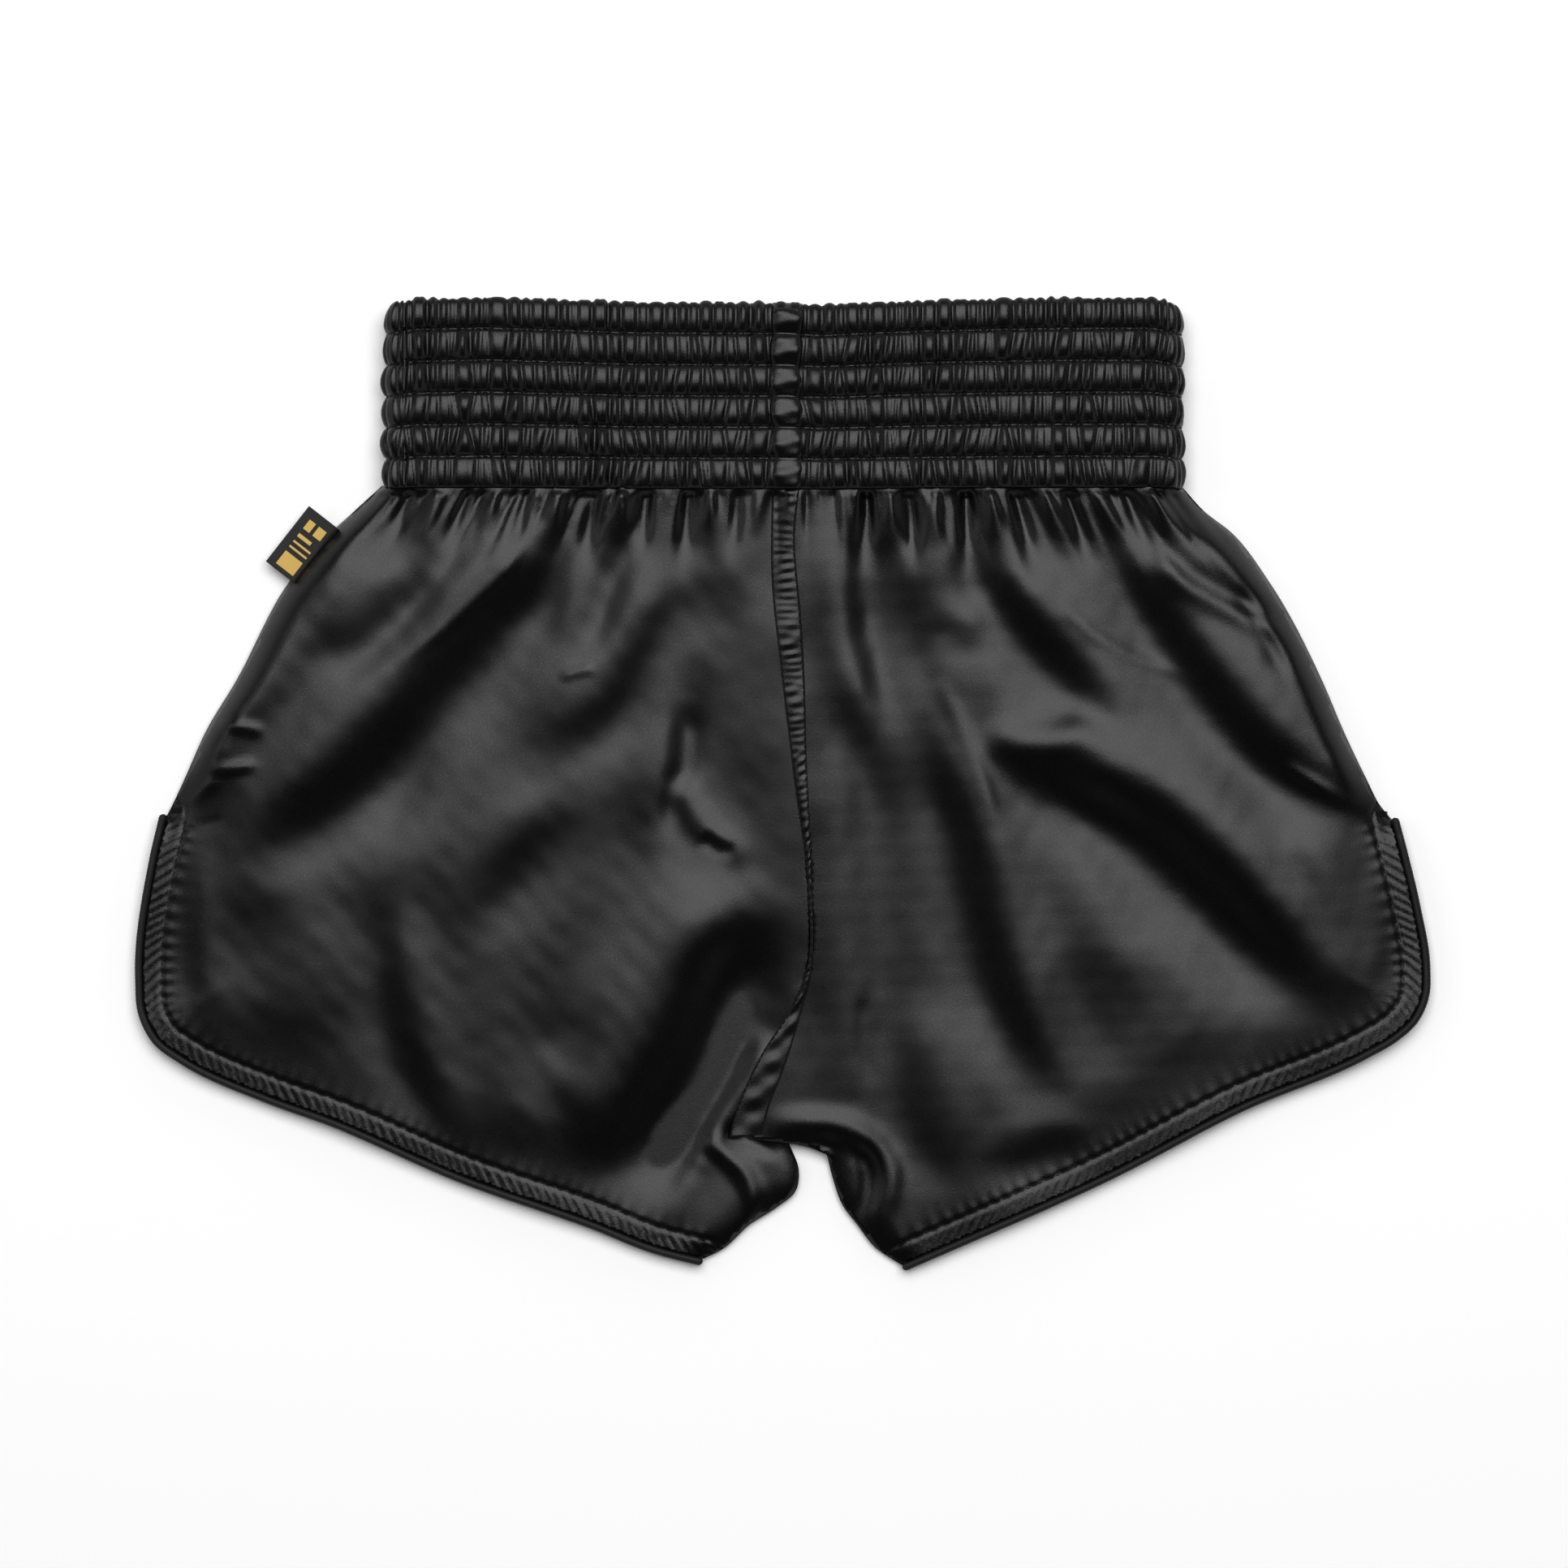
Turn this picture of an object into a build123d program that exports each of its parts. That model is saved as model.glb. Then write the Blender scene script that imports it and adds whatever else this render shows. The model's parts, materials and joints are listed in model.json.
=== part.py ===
"""Ruched-waist boxing shorts, lying flat with the back uppermost (sizes in millimetres).

X runs across the shorts, Y from the hems to the waist, Z up from the surface they lie on.
The origin is on that surface, under the middle of the shorts. Side -1 is the left leg.
"""
from build123d import *
import os

# Overall sizes
waist_width = 328            # relaxed elastic waist, fold to fold
waist_thickness = 18         # height of the flattened waistband off the table
waist_top_y = 199.5          # top edge of the waistband
slit_half_width = 253        # middle line to the top of a side slit
slit_top_y = -12
corner_half_width = 263.5    # middle line to the lower corner of a side slit
corner_y = -106
corner_radius = 21           # rounding of that corner
seam_bow = 11                # how far the hip stands outside a straight side seam

# Waistband
channel_count = 6            # rows of elastic
channel_pitch = 13           # one stitched channel
casing_wall = 5              # gathered cloth with its elastic, one side of the waist
elastic_width = 10
elastic_thickness = 1.4
elastic_clearance = 0.25     # free space around each elastic
groove_depth = 1.1           # how far a stitch row pulls the cloth in
groove_landing = 1.1         # flat bottom of that groove
ply_slit = 0.5               # space between the two plies at a stitch row
thread_size = 0.5
seam_strip_width = 13        # smooth strip that covers the join at the back of the waistband
seam_strip_thickness = 0.7

# Leg panels
cloth = 1.2                  # satin with its small folds
front_lift = 0.4             # front panels off the table, by their stitching
fold_clearance = 0.6         # space left at the waist seam, where the waistband folds
centre_x = [1, 2, 6, 10, 10, 10]     # middle line of the centre seam, from the waist down
crotch_y = -147
centre_strip = 8             # width of the felled centre seam
felled_extra = 0.6           # more cloth in a felled seam
arch_in_wall = 0.8           # where the back panels meet the waistband, above its inner face
seam_allowance = 8
hem_width = 8                # facing behind the hem
facing = 0.8
piping = 3.3                 # diameter of the corded edge
piping_core = 1.7
piping_gap = 0.2             # between the front and back cords where they lie on each other
bartack_length = 8
bartack_width = 2.2
bartack_height = 0.6
bartack_inset = 1             # from the slit edge and above the slit

# Inner edge of each leg, as points from the end of the centre seam to the hem
inner_leg = {
    -1: [(-4, -15), (-22, -33), (-46, -46.5)],
    1: [(8, -18), (21, -39), (34, -49.5)],
}

# Side label, a loop of woven tape sewn into the left side seam
label_length = 28.7          # along the side seam
label_reach = 14.5           # out from the seam
label_ply = 0.6
label_gap = 0.5
label_share = 0.24           # how far down the side seam its middle stands
label_clearance = 1.0        # from the seam to the free part of the loop
label_rise = 0.15            # its middle above the upper face of the back panel

# Worked out from the sizes above
waistband_depth = channel_count * channel_pitch
waist_seam_y = waist_top_y - waistband_depth
panel_top_y = waist_seam_y - fold_clearance
waist_middle_z = waist_thickness / 2
straight_half = waist_width / 2 - waist_middle_z
wall_inner = waist_middle_z - casing_wall
wall_middle = waist_middle_z - casing_wall / 2
groove_bottom = waist_middle_z - groove_depth
front_high = front_lift + cloth
back_rest = piping + piping_gap + (piping - cloth) / 2
waist_arch = waist_thickness - casing_wall + arch_in_wall - back_rest
centre_y = [panel_top_y, 52, 5, -44, -95, crotch_y]

# Lower face of the draped back panels, as heights above where their edges rest on the front:
# y, half width, edge, middle of the leg, centre
hip_half_width = (waist_width / 2 + slit_half_width) / 2
back_stations = [
    (waist_seam_y + 4.5, waist_width / 2 + 4, 0, waist_arch, waist_arch),
    (waist_seam_y - 61.5, hip_half_width + 7.5, 0, 8.4, 7.8),
    (slit_top_y + 12, slit_half_width - 3, 0, 8.2, 5.0),
    (slit_top_y - 48, corner_half_width + 0.5, 0.4, 7.8, 2.4),
    (corner_y - 9, corner_half_width - 1.5, 1.4, 6.8, 1.0),
    (crotch_y - 13, corner_half_width - 23.5, 4.0, 6.8, 0.8),
    (crotch_y - 61, corner_half_width - 53.5, 4.4, 6.4, 0.8),
]
middle_share = 0.6           # where the middle height stands, as a share of the half width


def save(piece, name):
    """Label a finished piece and write it to its own file."""
    piece.part.label = name
    export_step(piece.part, f"parts/{name}.step")


# ---------------------------------------------------------------- outlines seen from above

def side_seam_points(side):
    """Side seam from the waist down to the top of the slit, bowed out over the hip."""
    top = Vector(side * waist_width / 2, panel_top_y)
    low = Vector(side * slit_half_width, slit_top_y)
    bulges = [(0.27, 1.0), (0.62, 0.45)]
    points = [top]
    for share, bow in bulges:
        points.append(top + (low - top) * share + Vector(side * seam_bow * bow, 0))
    return points + [low]


def inner_leg_points(side):
    """Inner edge of one leg, from the centre seam to the hem."""
    crotch = Vector(centre_x[-1] + side * centre_strip / 2, crotch_y)
    return [crotch] + [crotch + Vector(x, y) for x, y in inner_leg[side]]


def hem_corners(side, outward):
    """Slit top, slit corner and inner end of a hem, moved outward from the cut edge."""
    start = Vector(side * slit_half_width, slit_top_y)
    corner = Vector(side * corner_half_width, corner_y)
    end = inner_leg_points(side)[-1]
    slit_normal = (corner - start).normalized().rotate(Axis.Z, side * 90)
    hem_normal = (end - corner).normalized().rotate(Axis.Z, side * 90)
    corner_shift = (slit_normal + hem_normal) / (1 + slit_normal.dot(hem_normal))
    return (
        start + slit_normal * outward,
        corner + corner_shift * outward,
        end + hem_normal * outward,
    )


def hem_line(side, outward):
    """Slit edge and hem as one line with a rounded corner."""
    return FilletPolyline(*hem_corners(side, outward), radius=corner_radius + outward)


def hem_band(side, inner, outer):
    """Flat band along the slit edge and hem, between two distances from the cut edge."""
    with BuildSketch() as band:
        with BuildLine():
            near = hem_line(side, inner)
            far = hem_line(side, outer)
            Line(near @ 0, far @ 0)
            Line(near @ 1, far @ 1)
        make_face()
    return band.sketch


def leg_panel_outline(side):
    """One leg panel, cut along the side of the centre seam strip."""
    with BuildSketch() as outline:
        with BuildLine():
            seam = Spline(*centre_edge_points(side))
            inner = Spline(*inner_leg_points(side))
            hem = hem_line(side, 0)
            hip = Spline(*side_seam_points(side))
            Line(hip @ 0, seam @ 0)
        make_face()
    return outline.sketch


def centre_edge_points(side):
    """One edge of the centre seam strip, from the waist to the crotch."""
    return [(x + side * centre_strip / 2, y) for x, y in zip(centre_x, centre_y)]


def centre_strip_outline():
    """Felled strip along the centre seam."""
    with BuildSketch() as outline:
        with BuildLine():
            left = Spline(*centre_edge_points(-1))
            right = Spline(*centre_edge_points(1))
            Line(left @ 0, right @ 0)
            Line(left @ 1, right @ 1)
        make_face()
    return outline.sketch


def edge_allowance(side, points):
    """Seam allowance turned in along one closed edge of a leg."""
    with BuildSketch() as outline:
        with BuildLine():
            Spline(*points)
        trace(line_width=2 * seam_allowance)
        add(leg_panel_outline(side), mode=Mode.INTERSECT)
        add(hem_band(side, -hem_width, 0), mode=Mode.SUBTRACT)
    return outline.sketch


# ---------------------------------------------------------------- heights of the back

def back_layer(low, high):
    """Solid layer between two heights over the lower face of the draped back panels."""
    with BuildPart() as layer:
        for y, half_width, edge, middle, centre in back_stations:
            across = [-half_width, -middle_share * half_width, 0, middle_share * half_width, half_width]
            heights = [back_rest + rise for rise in (edge, middle, centre, middle, edge)]
            with BuildSketch(Plane.XZ.offset(-y)):
                with BuildLine():
                    lower = Spline(*[(x, z + low) for x, z in zip(across, heights)])
                    upper = Spline(*[(x, z + high) for x, z in zip(across, heights)])
                    Line(lower @ 0, upper @ 0)
                    Line(lower @ 1, upper @ 1)
                make_face()
        loft()
    return layer.part


def cut_from_back(outline, low, high, lowest=0):
    """Cut an outline out of a layer of the back, keeping what is above a height."""
    with BuildPart() as piece:
        add(back_layer(low, high))
        with BuildSketch(Plane.XY.offset(lowest)):
            add(outline)
        extrude(amount=2 * waist_thickness, mode=Mode.INTERSECT)
    return piece


def cut_from_front(outline, low, high):
    """Cut an outline out of a flat layer of the front."""
    with BuildPart() as piece:
        with BuildSketch(Plane.XY.offset(low)):
            add(outline)
        extrude(amount=high - low)
    return piece


# ---------------------------------------------------------------- pieces of the legs

def make_centre_seams():
    """Felled strips that join the left and right panels, back and front."""
    outline = centre_strip_outline()
    save(cut_from_back(outline, 0, cloth + felled_extra), "centre_back_seam")
    save(cut_from_front(outline, front_lift, front_high + felled_extra), "centre_front_seam")


def make_closed_seams(side, side_name):
    """Turned-in allowances that hold the front and back together."""
    edges = {"side_seam": side_seam_points(side), "inner_leg_seam": inner_leg_points(side)}
    for name, points in edges.items():
        outline = edge_allowance(side, points)
        save(cut_from_back(outline, -back_rest, 0, lowest=front_high), f"{side_name}_{name}")


def make_back_hem(side, side_name):
    """Corded edge, facing and stitching of the back of one leg."""
    core_in = (piping - piping_core) / 2
    cord_low = (cloth - piping) / 2
    core_outline = hem_band(side, core_in, core_in + piping_core)
    core = cut_from_back(core_outline, cord_low + core_in, cord_low + core_in + piping_core)
    with BuildPart() as cover:
        add(cut_from_back(hem_band(side, 0, piping), cord_low, cord_low + piping).part)
        add(core.part, mode=Mode.SUBTRACT)
    save(core, f"back_{side_name}_piping_core")
    save(cover, f"back_{side_name}_piping")
    save(cut_from_back(hem_band(side, -hem_width, 0), -facing, 0), f"back_{side_name}_hem_facing")
    stitch = hem_band(side, -hem_width, thread_size - hem_width)
    save(cut_from_back(stitch, cloth, cloth + thread_size), f"back_{side_name}_hem_stitching")


def make_front_hem(side, side_name):
    """Corded edge, facing and stitching of the front of one leg."""
    core_in = (piping - piping_core) / 2
    core_outline = hem_band(side, core_in, core_in + piping_core)
    core = cut_from_front(core_outline, core_in, core_in + piping_core)
    with BuildPart() as cover:
        add(cut_from_front(hem_band(side, 0, piping), 0, piping).part)
        add(core.part, mode=Mode.SUBTRACT)
    save(core, f"front_{side_name}_piping_core")
    save(cover, f"front_{side_name}_piping")
    facing_outline = hem_band(side, -hem_width, 0)
    facing_band = cut_from_front(facing_outline, front_high, front_high + facing)
    save(facing_band, f"front_{side_name}_hem_facing")
    stitch = hem_band(side, -hem_width, thread_size - hem_width)
    save(cut_from_front(stitch, 0, front_lift), f"front_{side_name}_hem_stitching")


def make_bartacks():
    """Dense stitching across the top of each slit, on the back panel."""
    with BuildPart() as bartacks:
        for side in side_names:
            start, corner, _ = hem_corners(side, 0)
            along = (start - corner).normalized()
            inward = along.rotate(Axis.Z, side * 90)
            across_middle = bartack_length / 2 + bartack_inset
            middle = start + inward * across_middle + along * (bartack_width / 2 + bartack_inset)
            with BuildSketch(Plane(origin=middle, x_dir=inward, z_dir=(0, 0, 1))) as outline:
                Rectangle(bartack_length, bartack_width)
            tack = cut_from_back(outline.sketch, cloth, cloth + bartack_height)
            add(tack.part)
    save(bartacks, "slit_bartacks")


def make_label():
    """Loop of woven tape that stands out of the left side seam."""
    height = 2 * label_ply + label_gap
    with BuildLine() as hip:
        seam = Spline(*side_seam_points(-1))
    foot = seam @ label_share
    along = -(seam % label_share)
    out = along.rotate(Axis.Z, 90)
    middle_z = back_rest + cloth + label_rise
    foot = Vector(foot.X, foot.Y, middle_z)
    section = Plane(origin=foot + out * label_clearance, x_dir=out, z_dir=-along)
    straight = label_reach - label_clearance - height / 2
    with BuildPart() as label:
        with BuildSketch(section.offset(-label_length / 2)):
            with Locations((straight / 2, 0)):
                Rectangle(straight, height)
                Rectangle(straight, label_gap, mode=Mode.SUBTRACT)
            with Locations((straight, 0)):
                Circle(height / 2)
                Circle(label_gap / 2, mode=Mode.SUBTRACT)
            with Locations((straight / 2, 0)):
                Rectangle(straight, label_gap, mode=Mode.SUBTRACT)
        extrude(amount=label_length)
    save(label, "side_label")


# ---------------------------------------------------------------- pieces of the waistband

def waist_half(wall):
    """One straight run of the waist and the rounded fold at its end."""
    middle = Axis((straight_half, 0, waist_middle_z), (0, 1, 0))
    with BuildPart() as half:
        with BuildSketch(Plane.YZ.offset(-straight_half).shift_origin((-straight_half, 0, waist_middle_z))):
            add(wall)
        extrude(amount=2 * straight_half)
        with BuildSketch(Plane.YZ.offset(straight_half).shift_origin((straight_half, 0, waist_middle_z))):
            add(wall)
        revolve(axis=middle, revolution_arc=180)
    return half.part


def carry_round_waist(wall):
    """Carry a wall section (y, distance from the waist's middle) round the flat loop."""
    half = waist_half(wall)
    with BuildPart() as loop:
        add(half)
        add(half.rotate(Axis((0, 0, waist_middle_z), (0, 1, 0)), 180))
    return loop


def block_section(y, distance, width, height):
    """Rectangular wall section with its middle at a height up the waist and a distance out."""
    with BuildSketch() as section:
        with Locations((y, distance)):
            Rectangle(width, height)
    return section.sketch


def casing_section():
    """Gathered casing: outer ply puffed between stitch rows, inner ply flat, channels between."""
    rows = [waist_seam_y + channel_pitch * row for row in range(channel_count + 1)]
    with BuildSketch() as section:
        with BuildLine():
            for low, high in zip(rows, rows[1:]):
                foot = low + groove_landing / 2
                head = high - groove_landing / 2
                Line((low, groove_bottom), (foot, groove_bottom))
                ThreePointArc(
                    (foot, groove_bottom),
                    ((low + high) / 2, waist_middle_z),
                    (head, groove_bottom),
                )
                Line((head, groove_bottom), (high, groove_bottom))
            Line((waist_top_y, groove_bottom), (waist_top_y, wall_inner))
            Line((waist_top_y, wall_inner), (waist_seam_y, wall_inner))
            Line((waist_seam_y, wall_inner), (waist_seam_y, groove_bottom))
        make_face()
        slit_length = waistband_depth - channel_pitch / 2
        with Locations((waist_seam_y + slit_length / 2, wall_middle)):
            Rectangle(slit_length, ply_slit, mode=Mode.SUBTRACT)
        for low in rows[:-1]:
            with Locations((low + channel_pitch / 2, wall_middle)):
                Rectangle(
                    elastic_width + 2 * elastic_clearance,
                    elastic_thickness + 2 * elastic_clearance,
                    mode=Mode.SUBTRACT,
                )
    return section.sketch


def make_waistband():
    """Casing, its elastics, its stitch rows and the strip over its join."""
    save(carry_round_waist(casing_section()), "waistband_casing")
    for row in range(channel_count):
        y = waist_seam_y + channel_pitch * (row + 0.5)
        elastic = block_section(y, wall_middle, elastic_width, elastic_thickness)
        save(carry_round_waist(elastic), f"waist_elastic_{row + 1}")
    thread_out = groove_bottom + thread_size / 2
    with BuildPart() as rows:
        for row in range(1, channel_count):
            y = waist_seam_y + channel_pitch * row
            add(carry_round_waist(block_section(y, thread_out, thread_size, thread_size)).part)
    save(rows, "waistband_stitching")
    seam_thread = block_section(waist_seam_y + thread_size / 2, thread_out, thread_size, thread_size)
    save(carry_round_waist(seam_thread), "waist_seam_stitching")
    with BuildPart() as strip:
        with BuildSketch(Plane.XY.offset(waist_thickness)):
            with Locations((centre_x[0], waist_seam_y + waistband_depth / 2)):
                Rectangle(seam_strip_width, waistband_depth)
        extrude(amount=seam_strip_thickness)
    save(strip, "waistband_back_strip")


side_names = {-1: "left", 1: "right"}
os.makedirs("parts", exist_ok=True)

for side, side_name in side_names.items():
    outline = leg_panel_outline(side)
    save(cut_from_back(outline, 0, cloth), f"back_{side_name}_panel")
    save(cut_from_front(outline, front_lift, front_high), f"front_{side_name}_panel")
    make_closed_seams(side, side_name)
    make_back_hem(side, side_name)
    make_front_hem(side, side_name)

make_centre_seams()
make_bartacks()
make_label()
make_waistband()
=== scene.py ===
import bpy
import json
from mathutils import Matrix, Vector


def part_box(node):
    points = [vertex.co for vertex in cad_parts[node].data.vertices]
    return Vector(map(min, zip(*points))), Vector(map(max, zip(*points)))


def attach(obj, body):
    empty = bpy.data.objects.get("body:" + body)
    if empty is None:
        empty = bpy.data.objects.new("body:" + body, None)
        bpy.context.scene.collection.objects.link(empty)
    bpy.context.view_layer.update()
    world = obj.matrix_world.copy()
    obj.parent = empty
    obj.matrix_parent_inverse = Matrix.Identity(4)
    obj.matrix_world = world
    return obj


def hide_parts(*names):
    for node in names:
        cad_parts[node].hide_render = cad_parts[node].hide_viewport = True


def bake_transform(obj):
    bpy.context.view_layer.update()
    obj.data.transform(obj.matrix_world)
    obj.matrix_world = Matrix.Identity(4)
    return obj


bl_info = {
    "name": "Satin Boxing Shorts",
    "version": (1, 0, 0),
    "blender": (4, 5, 0),
    "location": "3D View > Sidebar > Shorts",
    "description": "Satin boxing shorts laid flat, with a ruched elastic waistband and corded hems",
    "category": "Add Mesh",
}

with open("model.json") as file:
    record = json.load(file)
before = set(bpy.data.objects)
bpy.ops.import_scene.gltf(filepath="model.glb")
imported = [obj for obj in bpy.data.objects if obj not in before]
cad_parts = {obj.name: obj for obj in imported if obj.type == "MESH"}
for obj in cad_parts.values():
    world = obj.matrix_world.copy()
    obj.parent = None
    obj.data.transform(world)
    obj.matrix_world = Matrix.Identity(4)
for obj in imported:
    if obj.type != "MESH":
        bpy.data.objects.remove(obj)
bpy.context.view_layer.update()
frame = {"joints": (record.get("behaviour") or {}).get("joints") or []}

import json
import math

import bpy
import numpy as np
from bpy.props import FloatProperty, FloatVectorProperty, PointerProperty
from mathutils import Vector
from mathutils.geometry import delaunay_2d_cdt

# Shapes are worked out in millimetres and made in metres.
MM = 0.001


def node_box(node):
    """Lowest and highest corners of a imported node, in millimetres."""
    low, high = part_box(node)
    return np.array(low) / MM, np.array(high) / MM


WAIST_LOW, WAIST_HIGH = node_box("waistband_casing")
WAIST_HALF = (WAIST_HIGH[0] - WAIST_LOW[0]) / 2
WAIST_MIDDLE_Z = (WAIST_HIGH[2] + WAIST_LOW[2]) / 2
WAIST_SEAM_Y = WAIST_LOW[1]
CHANNELS = 6
PITCH = (WAIST_HIGH[1] - WAIST_LOW[1]) / CHANNELS
PIPING = node_box("front_left_piping")[1][2]
HEM_BAND = 8.0
CLOTH = 0.35
LABEL_TRAVEL = 31.3           # once round the folded label, from seam to seam

# Which side each leg lies on: -1 for the left, +1 for the right. Declared cut sizes,
# which are not what the meshes hold.
LEGS = {"left": -1, "right": 1}

# Edges of the back, seen from above: side seam from the waist to the slit, slit edge and hem,
# inner leg from the crotch to the hem.
SIDE_SEAM = {
    "left": [(-165, 123), (-177, 112), (-190, 100), (-203.5, 83), (-225, 42.7), (-237, 22.7),
             (-246, 2.7), (-250.5, -7), (-253, -12)],
    "right": [(163, 123), (172, 113), (184, 103.5), (199.5, 83), (221, 42.7), (229.5, 22.7),
              (239, 2.7), (244.5, -8), (249, -13.5)],
}
HEM = {
    "left": [(-253, -12), (-257.5, -32), (-263, -80), (-261.8, -93), (-256, -104), (-246.5, -111),
             (-212, -127), (-185.5, -136.5), (-132.2, -159.8), (-78.8, -178.6), (-52.2, -189.1),
             (-33, -194)],
    "right": [(249, -13.5), (253.5, -31), (258, -50), (262, -75), (261.5, -86), (257.5, -95),
              (250, -102), (238, -109), (186.5, -131), (133, -158.8), (80, -182.6), (48, -196.5)],
}
INNER_LEG = {
    "left": [(3, -149), (6, -157), (5, -166), (-3, -173), (-14, -180), (-25, -190), (-33, -194)],
    "right": [(17.5, -151), (20, -161), (24, -172), (30, -180), (37, -189), (48, -196.5)],
}
# The two stitch lines of the felled centre back seam, and the crotch edge of each panel
SEAM_LINE = [(-5, 123), (-4.8, 80), (-1.8, 52), (3.8, 5), (9.8, -44), (9.4, -74), (3.5, -90),
             (-9.2, -110), (-18.8, -131), (-22.5, -144)]
SECOND_LINE = [(6.5, 123), (4.5, 103), (6.8, 70.7), (8.5, 42.3), (9.2, 14), (11.6, -44),
               (11.2, -76), (6.5, -95), (-0.8, -118.3), (-6.2, -132), (-8.8, -143)]
CROTCH = {
    "left": [(-15.5, -140), (-6, -140.5), (0, -143.5), (3, -149)],
    "right": [(-15.8, -144.5), (-4, -146), (8, -147.5), (17.5, -151)],
}

# Lie of the back over the front: height of the crotch line and of the middle of a leg
ARCH_Y = [-208, -160, -115, -60, 0, 60, 126]
ARCH_HALF = [210, 240, 258, 262, 248, 214, 166]
ARCH_CENTRE = [5.0, 5.5, 6.5, 8.0, 10.5, 13.0, 15.0]
ARCH_MIDDLE = [5.8, 6.4, 7.6, 9.6, 12.0, 14.0, 15.0]


# ------------------------------------------------------------------ lines and distances

def smooth_line(points, step=2.0):
    """Points along a smooth curve through a few chosen points."""
    p = np.array(points, float)
    chord = np.linalg.norm(np.diff(p, axis=0), axis=1)
    at = np.concatenate([[0], np.cumsum(chord)])
    slope = np.gradient(p, at, axis=0)
    out = []
    for k, length in enumerate(chord):
        count = max(2, int(round(length / step)))
        t = np.linspace(0, 1, count, endpoint=False)[:, None]
        out.append(
            (2 * t**3 - 3 * t**2 + 1) * p[k] + (t**3 - 2 * t**2 + t) * length * slope[k]
            + (3 * t**2 - 2 * t**3) * p[k + 1] + (t**3 - t**2) * length * slope[k + 1]
        )
    out.append(p[-1:])
    return np.concatenate(out)


def even_line(line, step):
    """The same line with points a step apart."""
    at = along_line(line)
    count = max(2, int(round(at[-1] / step)) + 1)
    where = np.linspace(0, at[-1], count)
    return np.stack([np.interp(where, at, line[:, k]) for k in range(line.shape[1])], axis=1)


def along_line(line):
    """Distance along a line to each of its points."""
    return np.concatenate([[0], np.cumsum(np.linalg.norm(np.diff(line, axis=0), axis=1))])


def side_of_line(line):
    """Unit vectors pointing to the left of each point of a flat line."""
    tangent = np.gradient(line, axis=0)
    tangent /= np.linalg.norm(tangent, axis=1)[:, None]
    return np.stack([-tangent[:, 1], tangent[:, 0]], axis=1)


def near_line(x, y, line):
    """Distance to a line (positive on its left) and distance along it, for many places."""
    best = np.full(x.shape, 1e9)
    sign = np.ones(x.shape)
    along = np.zeros(x.shape)
    at = along_line(line)
    for k in range(len(line) - 1):
        a, b = line[k], line[k + 1]
        run = b - a
        length = max(np.hypot(*run), 1e-9)
        t = np.clip(((x - a[0]) * run[0] + (y - a[1]) * run[1]) / length**2, 0, 1)
        dx, dy = x - a[0] - t * run[0], y - a[1] - t * run[1]
        d = np.hypot(dx, dy)
        closer = d < best
        best = np.where(closer, d, best)
        sign = np.where(closer, np.sign(run[0] * dy - run[1] * dx + 1e-12), sign)
        along = np.where(closer, at[k] + t * length, along)
    return best * sign, along


def away_from(x, y, points):
    """Distance of many places from the smooth curve through a few points, on either side."""
    return np.abs(near_line(x, y, smooth_line(points, 3.0))[0])


def ease(t):
    """Smooth step from 0 to 1."""
    t = np.clip(t, 0, 1)
    return t * t * (3 - 2 * t)


def waves(x, y, seed, longest, shortest, count, height):
    """Gentle unevenness: a few seeded waves in all directions."""
    rng = np.random.default_rng(seed)
    total = np.zeros(x.shape)
    for _ in range(count):
        length = rng.uniform(shortest, longest)
        turn = rng.uniform(0, math.pi)
        shift = rng.uniform(0, 2 * math.pi)
        total += np.sin(2 * math.pi * (x * math.cos(turn) + y * math.sin(turn)) / length + shift)
    return height * total / math.sqrt(count)


# ------------------------------------------------------------------ folds of the back

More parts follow.
